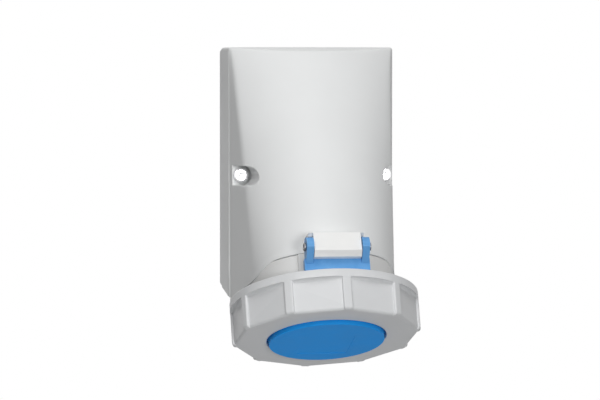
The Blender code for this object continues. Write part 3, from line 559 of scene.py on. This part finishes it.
def makeRing(facts):
    r, top, end = facts["radius"], facts["topRound"], facts["end"]
    outline = [(facts["wallRadius"], 0), (r, 0), (r, end), (facts["hole"], end),
               (facts["hole"], facts["floorTop"]), (facts["wallRadius"], facts["floorTop"])]
    ring = drawLine("gripRing", [(0, y, z) for y, z in outline], close=True)
    roundCorners(ring, lambda p: p.y > r - hair and p.z < hair, top, 4)
    roundCorners(ring, lambda p: p.y < facts["hole"] + hair and p.z > end - hair, facts["holeRound"], 3)
    turnProfile(ring, 180)
    flat, low, high, depth = facts["panelDistance"], facts["rimHeight"], end + 0.001, facts["cutterDepth"]
    wide = 2 * flat * math.tan(math.pi / facts["grips"]) + facts["cutterExtra"]
    panel = makeBlock((0, flat + depth / 2, (low + high) / 2), (wide, depth, high - low))
    roundEdges(panel, lambda a, b: abs(a.x - b.x) > 0.001 and max(a.z, b.z) < low + hair
               and max(a.y, b.y) < flat + hair, facts["panelCove"], 6)
    for index in range(facts["grips"]):  # ten flats, which meet on the ring's full radius
        cutter = copyTurned(panel, facts["gripPhase"] + 2 * math.pi * (index + 0.5) / facts["grips"])
        takeAway(ring, cutter)
    bpy.data.objects.remove(panel)
    softenSome(ring, facts["footRound"], 5, 40, lambda a, b: all(
        p.z > end - hair / 2 and math.hypot(p.x, p.y) > flat - 0.0005 for p in (a, b)))
    grip = partRing("grip", flat - facts["gripRoot"], r - hair / 2, facts["gripTop"], end - hair, 0,
                    facts["gripHalf"], 4)
    softenSome(grip, facts["footRound"], 5, 40,
               lambda a, b: min(a.z, b.z) > end - 2 * hair and min(a.y, b.y) > r - 0.001)
    softenEdges(grip, facts["gripEdge"], 4, 50)
    grips = [copyTurned(grip, facts["gripPhase"] + 2 * math.pi * index / facts["grips"])
             for index in range(facts["grips"])]
    bpy.data.objects.remove(grip)
    joinPieces(ring, grips)
    inner = []
    joined = facts["wallRadius"] + overlap
    for angle in facts["camPlaces"]:  # cams that ride behind the lugs
        cam = partRing("cam", facts["camInner"], joined, *facts["cam"], math.radians(angle), facts["camHalf"])
        softenEdges(cam, facts["camEdge"], 2)
        inner.append(cam)
    for angle in facts["lipPlaces"]:  # lips that keep the lid's flange in the ring
        inner.append(partRing("lip", facts["lipInner"], joined, *facts["lip"], math.radians(angle),
                              facts["lipHalf"], 8))
    joinPieces(ring, inner)
    return place(ring, outletPlace, "ring", ringPlastic, ["bayonet_ring"])


# the hinged lid: a round cap with an arm, a crossbar and two ears
lidFacts = {
    "flangeRadius": 0.0435,
    "top": 0.0166,
    "flangeEnd": 0.0195,
    "faceRadius": 0.0306,
    "faceEnd": 0.0243,
    "faceEdge": 0.0005,
    "labelHalf": (0.0135, 0.0150),
    "labelPlace": -0.0035,
    "labelDepth": 0.00016,
    "labelCorner": 0.0012,
    "labelEdge": 0.0001,
    "armInner": 0.0410,
    "armOuter": 0.0443,
    "armHalf": math.radians(21.5),
    "barTop": -0.0070,
    "barEnd": -0.0006,
    "barFront": 0.0451,
    "pin": outletFacts["hinge"],
    "earRadius": 0.0050,
    "earInner": 0.0128,
    "earOuter": 0.0166,
    "barHalf": 0.0172,
    "barOverlap": 0.002,
    "earRoot": 0.003,
    "earHeel": 0.001,
    "armRound": 0.0009,
}


def makeLid(facts):
    top, flange, flangeEnd, face, end = (facts[key] for key in (
        "top", "flangeRadius", "flangeEnd", "faceRadius", "faceEnd"))
    outline = [(0, top), (flange, top), (flange, flangeEnd), (face, flangeEnd), (face, end), (0, end)]
    cap = drawLine("lidCap", [(0, y, z) for y, z in outline])
    roundCorners(cap, lambda p: abs(p.y - face) < hair and p.z > end - hair, facts["faceEdge"], 4)
    turnProfile(cap, 160)
    across, along = facts["labelHalf"]
    recess = makeBlock((0, facts["labelPlace"], end), (2 * across, 2 * along, 2 * facts["labelDepth"]))
    roundEdges(recess, lambda a, b: abs(a.z - b.z) > facts["labelDepth"], facts["labelCorner"], 4)
    takeAway(cap, recess)
    softenEdges(cap, facts["labelEdge"], 1, 60)
    rear, front, barTop, barEnd = (facts[key] for key in ("armInner", "barFront", "barTop", "barEnd"))
    arm = partRing("lidArm", rear, facts["armOuter"], barTop + facts["barOverlap"], flangeEnd - overlap, 0,
                   facts["armHalf"], 16)
    bar = makeBlock((0, (rear + front) / 2, (barTop + barEnd) / 2),
                    (2 * facts["barHalf"], front - rear, barEnd - barTop))
    weld(arm, bar)
    y, z = facts["pin"]
    nose = [(y + facts["earRadius"] * math.cos(a), z + facts["earRadius"] * math.sin(a))
            for a in [math.radians(20 - 220 * i / 30) for i in range(31)]]
    root, heel = barTop + facts["earRoot"], barTop + facts["earHeel"]
    side = [(front - hair, root)] + nose + [(rear + hair, heel), (rear + hair, root)]
    for start in (-facts["earOuter"], facts["earInner"]):
        ear = drawLine("ear", [(start, py, pz) for py, pz in side], close=True)
        thicken(ear, (facts["earOuter"] - facts["earInner"], 0, 0))
        weld(arm, ear)
    takeAway(arm, makeRod("earBore", outletFacts["hingeBore"], 0.05, (0, y, z)))
    softenEdges(arm, facts["armRound"], 4, 32)
    # the face takes the brighter copy of the lid's blue: painted light
    cap.data.materials.append(lidFacePlasticLitCopy)
    arm.data.materials.append(lidPlastic)
    joinPieces(cap, [arm])
    return place(cap, outletPlace, "lid", None, ["lid"])


# the lid's seal: a flat rubber ring between the lid and the socket's mouth
sealFacts = {
    "inner": 0.0285,
    "outer": 0.0335,
    "low": 0.0133,
    "high": 0.0163,
    "edge": 0.0006,
}


def makeLidSeal(facts):
    seal = drawLine("lidSeal", [(0, facts[y], facts[z]) for y, z in (
        ("inner", "low"), ("outer", "low"), ("outer", "high"), ("inner", "high"))], close=True)
    turnProfile(seal, 96)
    softenEdges(seal, facts["edge"], 3, 40)
    return place(seal, outletPlace, "lid", sealRubber, ["lid_seal"])


# the socket body: collar, skirt and bore in one turned piece, with lugs, pad and flange
socketFacts = {
    "collarRadius": 0.0381,
    "skirtRadius": 0.0370,
    "skirtWall": 0.0028,
    "skirtEnd": 0.013,
    "boreRadius": 0.02925,
    "boreWall": 0.0024,
    "boreBack": -0.030,
    "keyway": (0.0070, 0.0055, 0.033),
    "keywayInset": 0.00125,
    "keywayLevel": -0.0025,
    "collarTop": -0.0131,
    "collarEnd": -0.0006,
    "web": -0.0101,
    "spigotTop": -0.0181,
    "spigotStep": 0.0025,
    "lugPlaces": (135, 315),
    "lugOuter": 0.0405,
    "lug": (0.006, 0.010),
    "lugHalf": math.radians(20),
    "lugEdge": 0.0005,
    "padRadius": 0.0395,
    "padHalf": math.radians(28.5),
    "padEnd": -0.0015,
    "flangeRear": -0.0364,
    "flangeHalf": 0.0443,
    "flangeThickness": 0.0028,
    "flangeGap": 0.0015,
    "screw": (0.0385, -0.0315),
    "screwHole": 0.0022,
    "holeLength": 0.02,
    "holeLevel": -0.012,
    "edge": 0.0004,
}


def makeSocketBody(facts):
    outer, inner = facts["skirtRadius"], facts["skirtRadius"] - facts["skirtWall"]
    bore, boreOut = facts["boreRadius"], facts["boreRadius"] + facts["boreWall"]
    collar, top, end, back = (facts[key] for key in ("collarRadius", "collarTop", "skirtEnd", "boreBack"))
    spigot, spigotTop, web = collar - facts["spigotStep"], facts["spigotTop"], facts["web"]
    outline = [(collar, top), (collar, facts["collarEnd"]), (outer, 0), (outer, end), (inner, end),
               (inner, web), (boreOut, web), (boreOut, end), (bore, end), (bore, back), (boreOut, back),
               (boreOut, spigotTop), (spigot, spigotTop), (spigot, top)]
    body = drawLine("socketCollar", [(0, y, z) for y, z in outline], close=True)
    turnProfile(body, 144)
    takeAway(body, makeBlock((0, -bore + facts["keywayInset"], facts["keywayLevel"]), facts["keyway"]))
    softenEdges(body, facts["edge"], 3, 32)
    extras = []
    for angle in facts["lugPlaces"]:
        lug = partRing("lug", outer - 2 * overlap, facts["lugOuter"], *facts["lug"], math.radians(angle),
                       facts["lugHalf"], 16)
        softenEdges(lug, facts["lugEdge"], 3)
        extras.append(lug)
    pad = partRing("armPad", collar - 2 * overlap, facts["padRadius"], top + 2 * hair, facts["padEnd"], 0,
                   facts["padHalf"], 24)
    softenEdges(pad, facts["lugEdge"], 3)
    extras.append(pad)
    arcEnd = around(collar - overlap, coverFacts["mouthArc"])
    half, rear = facts["flangeHalf"], facts["flangeRear"]
    corners = [(-half, rear), (half, rear), arcEnd, (-arcEnd[0], arcEnd[1])]
    flange = drawLine("cornerFlange", [(x, y, top + hair) for x, y in corners], close=True)
    thicken(flange, (0, 0, facts["flangeThickness"]))
    x, y = facts["screw"]
    for steps, radius, spot in ((96, boreOut + facts["flangeGap"], (0, 0)), (32, facts["screwHole"], (-x, y)),
                                (32, facts["screwHole"], (x, y))):
        bpy.ops.object.select_all(action="DESELECT")
        bpy.ops.mesh.primitive_cylinder_add(vertices=steps, radius=radius, depth=facts["holeLength"],
                                            location=(*spot, facts["holeLevel"]))
        takeAway(flange, bpy.context.object)
    softenEdges(flange, facts["edge"], 3)
    extras.append(flange)
    joinPieces(body, extras)
    return place(body, outletPlace, "housing", bodyPlastic, ["socket_body"])


# the knuckle that carries the lid's pin
knuckleFacts = {
    "pin": outletFacts["hinge"],
    "half": 0.0125,
    "shoulderHalf": 0.0146,
    "shoulderTop": -0.0212,
    "shoulderRadius": 0.0062,
    "root": 0.0365,
    "shoulderStep": 0.0004,
    "shoulderInset": (0.0012, 0.0002),
    "shoulderRound": 0.0022,
    "roundLevel": -0.0185,
    "step": 0.0006,
    "gap": 0.0005,
    "face": ((0.04845, -0.0068), (0.0508, -0.0096), (0.0492, -0.0199)),
    "edge": 0.0007,
}


def coverFront(level):  # the cover's middle line, at one level along the outlet's axis
    forward, upward = coverFacts["topDepth"] - outletFacts["depth"], coverFacts["top"] + outletFacts["drop"]
    tilt, mouth, radius = outletFacts["tilt"], coverFacts["mouthLevel"], coverFacts["mouthRadius"]
    topY = forward * math.cos(tilt) + upward * math.sin(tilt)
    topLevel = forward * math.sin(tilt) - upward * math.cos(tilt)
    return radius + (mouth - level) / (mouth - topLevel) * (topY - radius)


def makeKnuckle(facts):
    y, z = facts["pin"]
    mouth, top, root, face = coverFacts["mouthLevel"], facts["shoulderTop"], facts["root"], facts["face"]
    frontTop, frontLow = coverFront(top) + facts["gap"], coverFront(mouth) + facts["gap"]
    rear = mouth + facts["step"]
    side = [(root, face[0][1]), *face, (frontTop, top), (frontLow, mouth), (frontLow, rear), (root, rear)]
    knuckle = drawLine("hingeKnuckle", [(-facts["half"], py, pz) for py, pz in side], close=True)
    thicken(knuckle, (2 * facts["half"], 0, 0))
    reach, inset = facts["shoulderRadius"], facts["shoulderInset"]
    lower = [(y + reach * math.cos(a), z + reach * math.sin(a)) for a in map(math.radians, range(195, 262, 6))]
    side = [(frontLow, mouth - facts["shoulderStep"]), *lower, (face[-1][0] - inset[0], face[-1][1] - inset[1]),
            (frontTop, top)]
    shoulder = drawLine("shoulder", [(-facts["shoulderHalf"], py, pz) for py, pz in side], close=True)
    thicken(shoulder, (2 * facts["shoulderHalf"], 0, 0))
    softenSome(shoulder, facts["shoulderRound"], 5, 50,
               lambda a, b: abs(a.x - b.x) < hair and min(a.z, b.z) < facts["roundLevel"])
    weld(knuckle, shoulder)
    takeAway(knuckle, makeRod("knuckleBore", outletFacts["hingeBore"], 0.06, (0, y, z)))
    softenEdges(knuckle, facts["edge"], 3, 30)
    return place(knuckle, outletPlace, "housing", litKnucklePlastic)


# the front cover: a skin from the flat top to the round inclined mouth, subdivided, then given its wall
coverFacts = {
    "half": 0.045,
    "top": 0.065,
    "back": 0.0063,
    "sideDepth": 0.030,
    "sideColumns": (0.010, 0.018, 0.0262),
    "sideCount": 10,
    "topDepth": 0.042,
    "floorAngle": math.radians(6.5),
    "mouthRadius": 0.0382,
    "mouthArc": math.radians(80.5),
    "mouthLevel": -0.0135,
    "mouthCorner": -0.037148,
    "topRound": 0.0021,
    "topInset": (1.15, 1.1),
    "topFlat": 0.96,
    "topSlide": 0.019,
    "slideEnd": 0.16,
    "slope": 0.0045,
    "leastDrop": 0.00004,
    "edgeShift": 0.0004,
    "edgeStep": 0.0007,
    "creaseHalf": 0.0040,
    "creaseShare": 0.42,
    "lip": 0.00035,
    "lipStart": 0.98,
    "dip": 0.005,
    "dipStart": math.radians(48),
    "wall": 0.0026,
    "arcSteps": 22,
    "arcShare": 0.96,
    "rows": (0.018, 0.06, 0.16, 0.28, 0.40, 0.52, 0.64, 0.76, 0.87, 0.94, 0.975, 0.988, 1.0),
    "pocketFloor": 0.0345,
    "pocketHalf": 0.0054,
    "pocketWall": 0.0022,
    "pocketBase": 0.003,
    "pocketReach": (0.004, 0.04),
    "trim": 0.0002,
    "screw": (0.03885, -0.0036),
    "edge": 0.0005,
    "grooveEdge": 0.0003,
    "floorStrips": 5,
    "floorCuts": (-0.0425, -0.02, 0.0, 0.02, 0.0425),
    "knockoutRadius": 0.0105,
    "knockoutGroove": 0.0012,
}


def coverColumns(facts, share):  # the points of one row, from the left back edge to the right one
    half, side = facts["half"], facts["sideDepth"]
    bulge = facts["topDepth"] - side
    radius = (half ** 2 + bulge ** 2) / (2 * bulge)
    reach = math.asin(half / radius)
    centre = facts["topDepth"] - radius
    steps = facts["arcSteps"]
    left = []
    corner = toWorld(-half, facts["mouthCorner"], facts["mouthLevel"])
    lowBack = -facts["top"] - facts["back"] * math.tan(facts["floorAngle"])
    for depth, shift in ((facts["back"], 0), *((column, 0) for column in facts["sideColumns"]),
                         (side - 0.0010, 0.00002), (side - 0.0002, 0.0003 * share + 0.0002)):
        part = (depth - facts["back"]) / (side - facts["back"])
        low = lowBack + (corner.z - lowBack) * part
        left.append(Vector((-half + shift, -depth, facts["top"] + (low - facts["top"]) * share)))
    start = Vector((-half, -side, facts["top"])).lerp(corner, share)
    start += Vector((facts["edgeShift"] + facts["edgeStep"] * share, 0, 0))
    arcTop = [Vector((radius * math.sin(a), -centre - radius * math.cos(a), facts["top"]))
              for a in (facts["arcShare"] * reach * (2 * i / steps - 1) for i in range(steps + 1))]
    arcLow = []
    for i in range(steps + 1):  # the mouth's edge dips towards both sides
        angle = -facts["mouthArc"] + 2 * facts["mouthArc"] * i / steps
        part = max(0, (abs(angle) - facts["dipStart"]) / (facts["mouthArc"] - facts["dipStart"]))
        level = facts["mouthLevel"] + facts["dip"] * part * part * (3 - 2 * part)
        arcLow.append(toWorld(*around(facts["mouthRadius"], angle), level))
    fade = max(0, 1 - share / facts["slideEnd"])
    slide = [facts["topSlide"] * (1 - (2 * i / steps - 1) ** 2) * fade for i in range(steps + 1)]
    arc = [a.lerp(b, share + more) for a, b, more in zip(arcTop, arcLow, slide)]
    end = arc[0]
    width = (end - start).length
    near = min(facts["creaseHalf"], facts["creaseShare"] * width)
    along = (end - start) / max(width, tiny)
    left += [start, start + along * min(0.0012, 0.2 * width), start + along * (width - near) * 0.5,
             start + along * (width - near)]
    right = [Vector((-p.x, p.y, p.z)) for p in reversed(left)]
    return left + arc + right


def makeCover(facts):
    shares = facts["rows"]
    columns = len(coverColumns(facts, 0.5))
    bpy.ops.object.select_all(action="DESELECT")
    bpy.ops.mesh.primitive_grid_add(x_subdivisions=columns - 1, y_subdivisions=len(shares) + 2, size=2)
    cover = bpy.context.object
    cover.name = cover.data.name = "frontCover"
    lift = facts["topRound"]
    first = coverColumns(facts, 0.0)
    flat, near = [], []
    narrow, shallow = (inset * lift for inset in facts["topInset"])
    for p in first:  # the top slopes down in a band along its front edge
        share = facts["slope"] * (1 - (p.x / facts["half"]) ** 2)
        x = p.x * (1 - narrow / facts["half"])
        y = min(p.y * (1 - shallow / facts["topDepth"]), -facts["back"])
        drop = (facts["top"] - p.z) * share / (share + y - p.y + tiny)
        near.append(Vector((x, y, facts["top"] - max(facts["leastDrop"], drop))))
        flat.append(Vector((x * facts["topFlat"], min(y + share, -facts["back"]), facts["top"])))
    rows = [flat, near, first]
    for share in shares:
        row = coverColumns(facts, share)
        if share > facts["lipStart"]:  # the mouth's edge stands a little proud
            out = toWorld(0, 0, facts["mouthLevel"])
            for i, p in enumerate(row):
                if facts["sideCount"] <= i < columns - facts["sideCount"]:
                    away = p - out
                    away -= away.project(toWorld(0, 0, 1) - toWorld(0, 0, 0))
                    row[i] = p + away.normalized() * facts["lip"]
        rows.append(row)
    for vertex in cover.data.vertices:
        column = round((vertex.co.x + 1) / 2 * (columns - 1))
        line = round((1 - vertex.co.y) / 2 * (len(rows) - 1))
        vertex.co = rows[line][column]
    bottom = rows[-1]
    for i in range(facts["floorStrips"]):  # the floor behind the mouth
        corners = [bottom[i], bottom[i + 1], bottom[columns - 2 - i], bottom[columns - 1 - i]]
        pick(cover, "VERT", lambda p: any((p - c).length < 0.00001 for c in corners))
        bpy.ops.mesh.edge_face_add()
        bpy.ops.object.mode_set(mode="OBJECT")
    for x in facts["floorCuts"]:
        pick(cover, "FACE", lambda c, n: abs(c.x) < 0.03 and c.z < -0.0655 and c.y > -0.0299)
        bpy.ops.mesh.bisect(plane_co=(x, 0, 0), plane_no=(1, 0, 0))
        bpy.ops.object.mode_set(mode="OBJECT")
    onlyThis(cover)
    bpy.ops.object.mode_set(mode="EDIT")
    faceOut()
    useModifier(cover, "SUBSURF", levels=2, render_levels=2, boundary_smooth="PRESERVE_CORNERS")
    pick(cover, "VERT", lambda p: p.z > facts["top"] - 2 * tiny)
    bpy.ops.mesh.edge_face_add()
    faceOut()
    bpy.ops.object.duplicate()
    form = bpy.context.object  # the same form, closed, a little smaller, to trim the pockets' walls
    bpy.ops.object.mode_set(mode="EDIT")
    bpy.ops.mesh.select_all(action="SELECT")
    bpy.ops.mesh.fill_holes(sides=0)
    bpy.ops.mesh.normals_make_consistent(inside=False)
    bpy.ops.transform.shrink_fatten(value=-facts["trim"])
    bpy.ops.object.mode_set(mode="OBJECT")
    useModifier(cover, "SOLIDIFY", thickness=facts["wall"], offset=-1, use_quality_normals=True)
    x, z = facts["screw"]
    beyond, run = facts["pocketReach"]
    edge = facts["half"] + beyond
    for side in (-1, 1):
        walls = []
        for grow, depth in ((facts["pocketWall"], facts["pocketFloor"] - facts["pocketBase"]),
                            (0, facts["pocketFloor"])):
            half = facts["pocketHalf"] + grow
            bend = [(x + half * math.cos(a), z + half * math.sin(a))
                    for a in (math.pi / 2 + math.pi * i / 24 for i in range(25))]
            block = drawLine("pocket", [(side * px, -depth, pz) for px, pz in
                                        [(edge, z + half)] + bend + [(edge, z - half)]], close=True)
            thicken(block, (0, -run, 0))
            walls.append(block)
        useModifier(walls[0], "BOOLEAN", operation="INTERSECT", solver="EXACT", object=form)
        weld(cover, walls[0])
        takeAway(cover, walls[1])
    bpy.data.objects.remove(form)
    middle = -(facts["back"] + facts["topDepth"]) / 2
    outer, deep = facts["knockoutRadius"], facts["knockoutGroove"]
    groove = drawLine("groove", [(0, r, h) for r, h in (
        (outer - deep, -deep), (outer, -deep), (outer, 0.001), (outer - deep, 0.001))], close=True)
    turnProfile(groove, 64)
    groove.location = (0, middle, facts["top"])
    settle(groove)
    takeAway(cover, groove)
    away = outletPlace.inverted()
    softenSome(cover, facts["edge"], 3, 34, lambda a, b: all(  # the pockets' edges
        abs(p.x) > 0.030 and abs(p.z - facts["screw"][1]) < 0.0085 and p.y < -facts["pocketFloor"] + 0.006
        for p in (a, b)))
    softenSome(cover, facts["edge"], 3, 34, lambda a, b: all(  # the mouth's edge
        -0.0004 < (away @ p).z - facts["mouthLevel"] < facts["dip"] + 0.0004 and (away @ p).y > -0.036
        for p in (a, b)))
    softenSome(cover, facts["grooveEdge"], 2, 34,  # the groove's edges
               lambda a, b: min(a.z, b.z) > facts["top"] - 0.0014 and abs(a.x) < 0.012)
    return place(cover, wallPlace, "housing", housingPlastic, ["front_cover"], flats=False)


# the base plate: a shallow tray against the wall
plateFacts = {
    "half": 0.045,
    "top": 0.065,
    "bottom": -0.06534,
    "depth": 0.006,
    "corner": 0.003,
    "edge": 0.0007,
    "recess": 0.0010,
    "slotSpacing": (0.056, 0.100),
    "slotRadius": 0.0026,
    "slotLength": 0.009,
    "slotCut": 0.02,
    "slotRecess": 0.0018,
    "entryHeight": 0.018,
    "entryRadius": 0.0125,
    "groove": 0.0012,
    "grooveEnd": 0.003,
    "hollowCorner": 0.003,
    "hollows": ((0, 0.050, 0.036, 0.018), (0, -0.01875, 0.036, 0.0275), (0, -0.04925, 0.036, 0.0195),
                (-0.032, 0.000, 0.014, 0.070), (0.032, 0.000, 0.014, 0.070)),
}


def makeBasePlate(facts):
    middle = (facts["top"] + facts["bottom"]) / 2
    plate = makeBlock((0, -facts["depth"] / 2, middle),
                      (2 * facts["half"], facts["depth"], facts["top"] - facts["bottom"]))
    plate.name = plate.data.name = "wallPlate"
    roundEdges(plate, lambda a, b: abs(a.y - b.y) > 0.001, facts["corner"], 8)
    wide, high = facts["slotSpacing"]
    for column in (-1, 1):
        for row in (-1, 1):
            across = column < 0
            stretch = facts["slotLength"] / 2 - facts["slotRadius"]
            for radius, length in ((facts["slotRadius"], facts["slotCut"]),
                                   (facts["slotRadius"] + facts["slotRecess"], 2 * facts["recess"])):
                bpy.ops.object.select_all(action="DESELECT")
                bpy.ops.mesh.primitive_cylinder_add(vertices=32, radius=radius, depth=length,
                                                    location=(column * wide / 2, 0, row * high / 2),
                                                    rotation=(math.pi / 2, 0, 0))
                tool = bpy.context.object
                settle(tool)
                for sign in (-1, 1):  # the round bar is pulled out into a slot
                    spot = column * wide / 2 if across else row * high / 2
                    pick(tool, "VERT", lambda p: sign * ((p.x if across else p.z) - spot) > hair)
                    pull = sign * stretch
                    bpy.ops.transform.translate(value=(pull, 0, 0) if across else (0, 0, pull))
                    bpy.ops.object.mode_set(mode="OBJECT")
                takeAway(plate, tool)
    for x, z, w, h in facts["hollows"]:  # shallow hollows leave a rim and cross ribs on the back
        hollow = makeBlock((x, 0, z), (w, 2 * facts["recess"], h))
        roundEdges(hollow, lambda a, b: abs(a.y - b.y) > 0.001, facts["hollowCorner"], 6)
        takeAway(plate, hollow)
    outer, inner, end = facts["entryRadius"], facts["entryRadius"] - facts["groove"], facts["grooveEnd"]
    groove = drawLine("plateGroove", [(0, inner, 0), (0, outer, 0), (0, outer, end), (0, inner, end)],
                      close=True)
    turnProfile(groove, 64)
    groove.rotation_euler.x = -math.pi / 2
    groove.location = (0, -facts["groove"], facts["entryHeight"])
    settle(groove)
    takeAway(plate, groove)
    softenEdges(plate, facts["edge"], 3, 34)
    return place(plate, wallPlace, "housing", housingPlastic, ["base_plate"])


# pan head screws with a cross recess
screwFacts = {
    "headRadius": 0.0040,
    "headHeight": 0.0029,
    "headFoot": 0.00015,
    "crownStart": 0.76,
    "crownPowers": (0.3, 0.9),
    "shankRadius": 0.0019,
    "recessLength": 0.0046,
    "recessWidth": 0.0009,
    "recessDepth": 0.0013,
    "recessTaper": 0.55,
    "recessTurn": 20,
    "otherTurn": 35,
    "edge": 0.00012,
    "seat": 0.0348,
    "shank": 0.0308,
}


def makeScrews(facts):
    r, h = facts["headRadius"], facts["headHeight"]
    foot, start, (sidePower, topPower) = facts["headFoot"], facts["crownStart"], facts["crownPowers"]
    crown = [(r * math.cos(a) ** sidePower, h * (start + (1 - start) * math.sin(a) ** topPower)) for a in
             (math.radians(90 * i / 12) for i in range(12))]
    core, low = facts["shankRadius"], -facts["shank"]
    outline = [(0, low), (core * 0.5, low), (core, low + 0.001), (core, 0), (r - foot, 0), (r, foot), *crown,
               (0, h)]
    screw = drawLine("coverScrewLeft", [(0, y, z) for y, z in outline])
    turnProfile(screw, 64)
    for turn in (0, 1):
        bar = makeBlock((0, 0, h), (facts["recessLength"], facts["recessWidth"], 2 * facts["recessDepth"]),
                        math.radians(facts["recessTurn"] + 90 * turn))
        pick(bar, "VERT", lambda p: p.z < h)  # the recess narrows towards its floor
        taper = facts["recessTaper"]
        bpy.ops.transform.resize(value=(taper, taper, 1), center_override=(0, 0, 0))
        bpy.ops.object.mode_set(mode="OBJECT")
        takeAway(screw, bar)
    softenEdges(screw, facts["edge"], 2, 36)
    stand = Matrix.Rotation(math.pi / 2, 4, "X")
    x, z = coverFacts["screw"]
    onlyThis(screw)
    bpy.ops.object.duplicate()
    other = bpy.context.object
    other.name = other.data.name = "coverScrewRight"
    place(screw, Matrix.Translation((-x, -facts["seat"], z)) @ stand, "housing", screwMetal,
          ["cover_screw_left"])
    spin = Matrix.Rotation(math.radians(facts["otherTurn"]), 4, "Z")
    place(other, Matrix.Translation((x, -facts["seat"], z)) @ stand @ spin, "housing",
          screwMetal, ["cover_screw_right"])


# the hinge pin has a riveted, hollow head on each end
pinFacts = {
    "radius": 0.0015,
    "headRadius": 0.0023,
    "headLength": 0.0008,
    "headChamfer": 0.0003,
    "hollowRadius": 0.0014,
    "hollowTaper": 0.0002,
    "hollowDepth": 0.0006,
    "reach": 0.0169,
    "place": (0, *outletFacts["hinge"]),
}


def makePin(facts):
    r, big, reach, head = facts["radius"], facts["headRadius"], facts["reach"], facts["headLength"]
    hollow, floor = facts["hollowRadius"], reach - facts["hollowDepth"]
    half = [(r, 0), (r, reach), (big, reach), (big, reach + head * 0.5),
            (big - facts["headChamfer"], reach + head), (hollow, reach + head),
            (hollow - facts["hollowTaper"], floor), (0, floor)]
    outline = [(y, -z) for y, z in reversed(half)] + half[1:]
    pin = drawLine("hingePin", [(0, y, z) for y, z in outline])
    turnProfile(pin, 40)
    return place(pin, outletPlace @ Matrix.Translation(facts["place"]) @ Matrix.Rotation(math.pi / 2, 4, "Y"),
                 "housing", darkenedPinMetal, ["hinge_pin"])


makeRing(ringFacts)
makeLid(lidFacts)
makeLidSeal(sealFacts)
print("ring and lid made")
makeSocketBody(socketFacts)
makeKnuckle(knuckleFacts)
makePin(pinFacts)
print("socket body and hinge made")
makeCover(coverFacts)
makeBasePlate(plateFacts)
makeScrews(screwFacts)
print("cover, plate and screws made")

# the remaining nodes keep their shape and take these finishes
nodeFinishes = {
    "cover_seal": sealRubber,
    "socket_screw_left": screwMetal,
    "socket_screw_right": screwMetal,
    "contact_carrier": carrierPlastic,
    "contact_line": contactBrass,
    "contact_neutral": contactBrass,
    "contact_earth": contactBrass,
    "terminal_screw_line": screwMetal,
    "terminal_screw_neutral": screwMetal,
    "terminal_screw_earth": screwMetal,
}
for nodeName, finish in nodeFinishes.items():
    cadNodes[nodeName].data.materials.clear()
    cadNodes[nodeName].data.materials.append(finish)

clearSelection()
bpy.context.scene.view_settings.view_transform = "Standard"
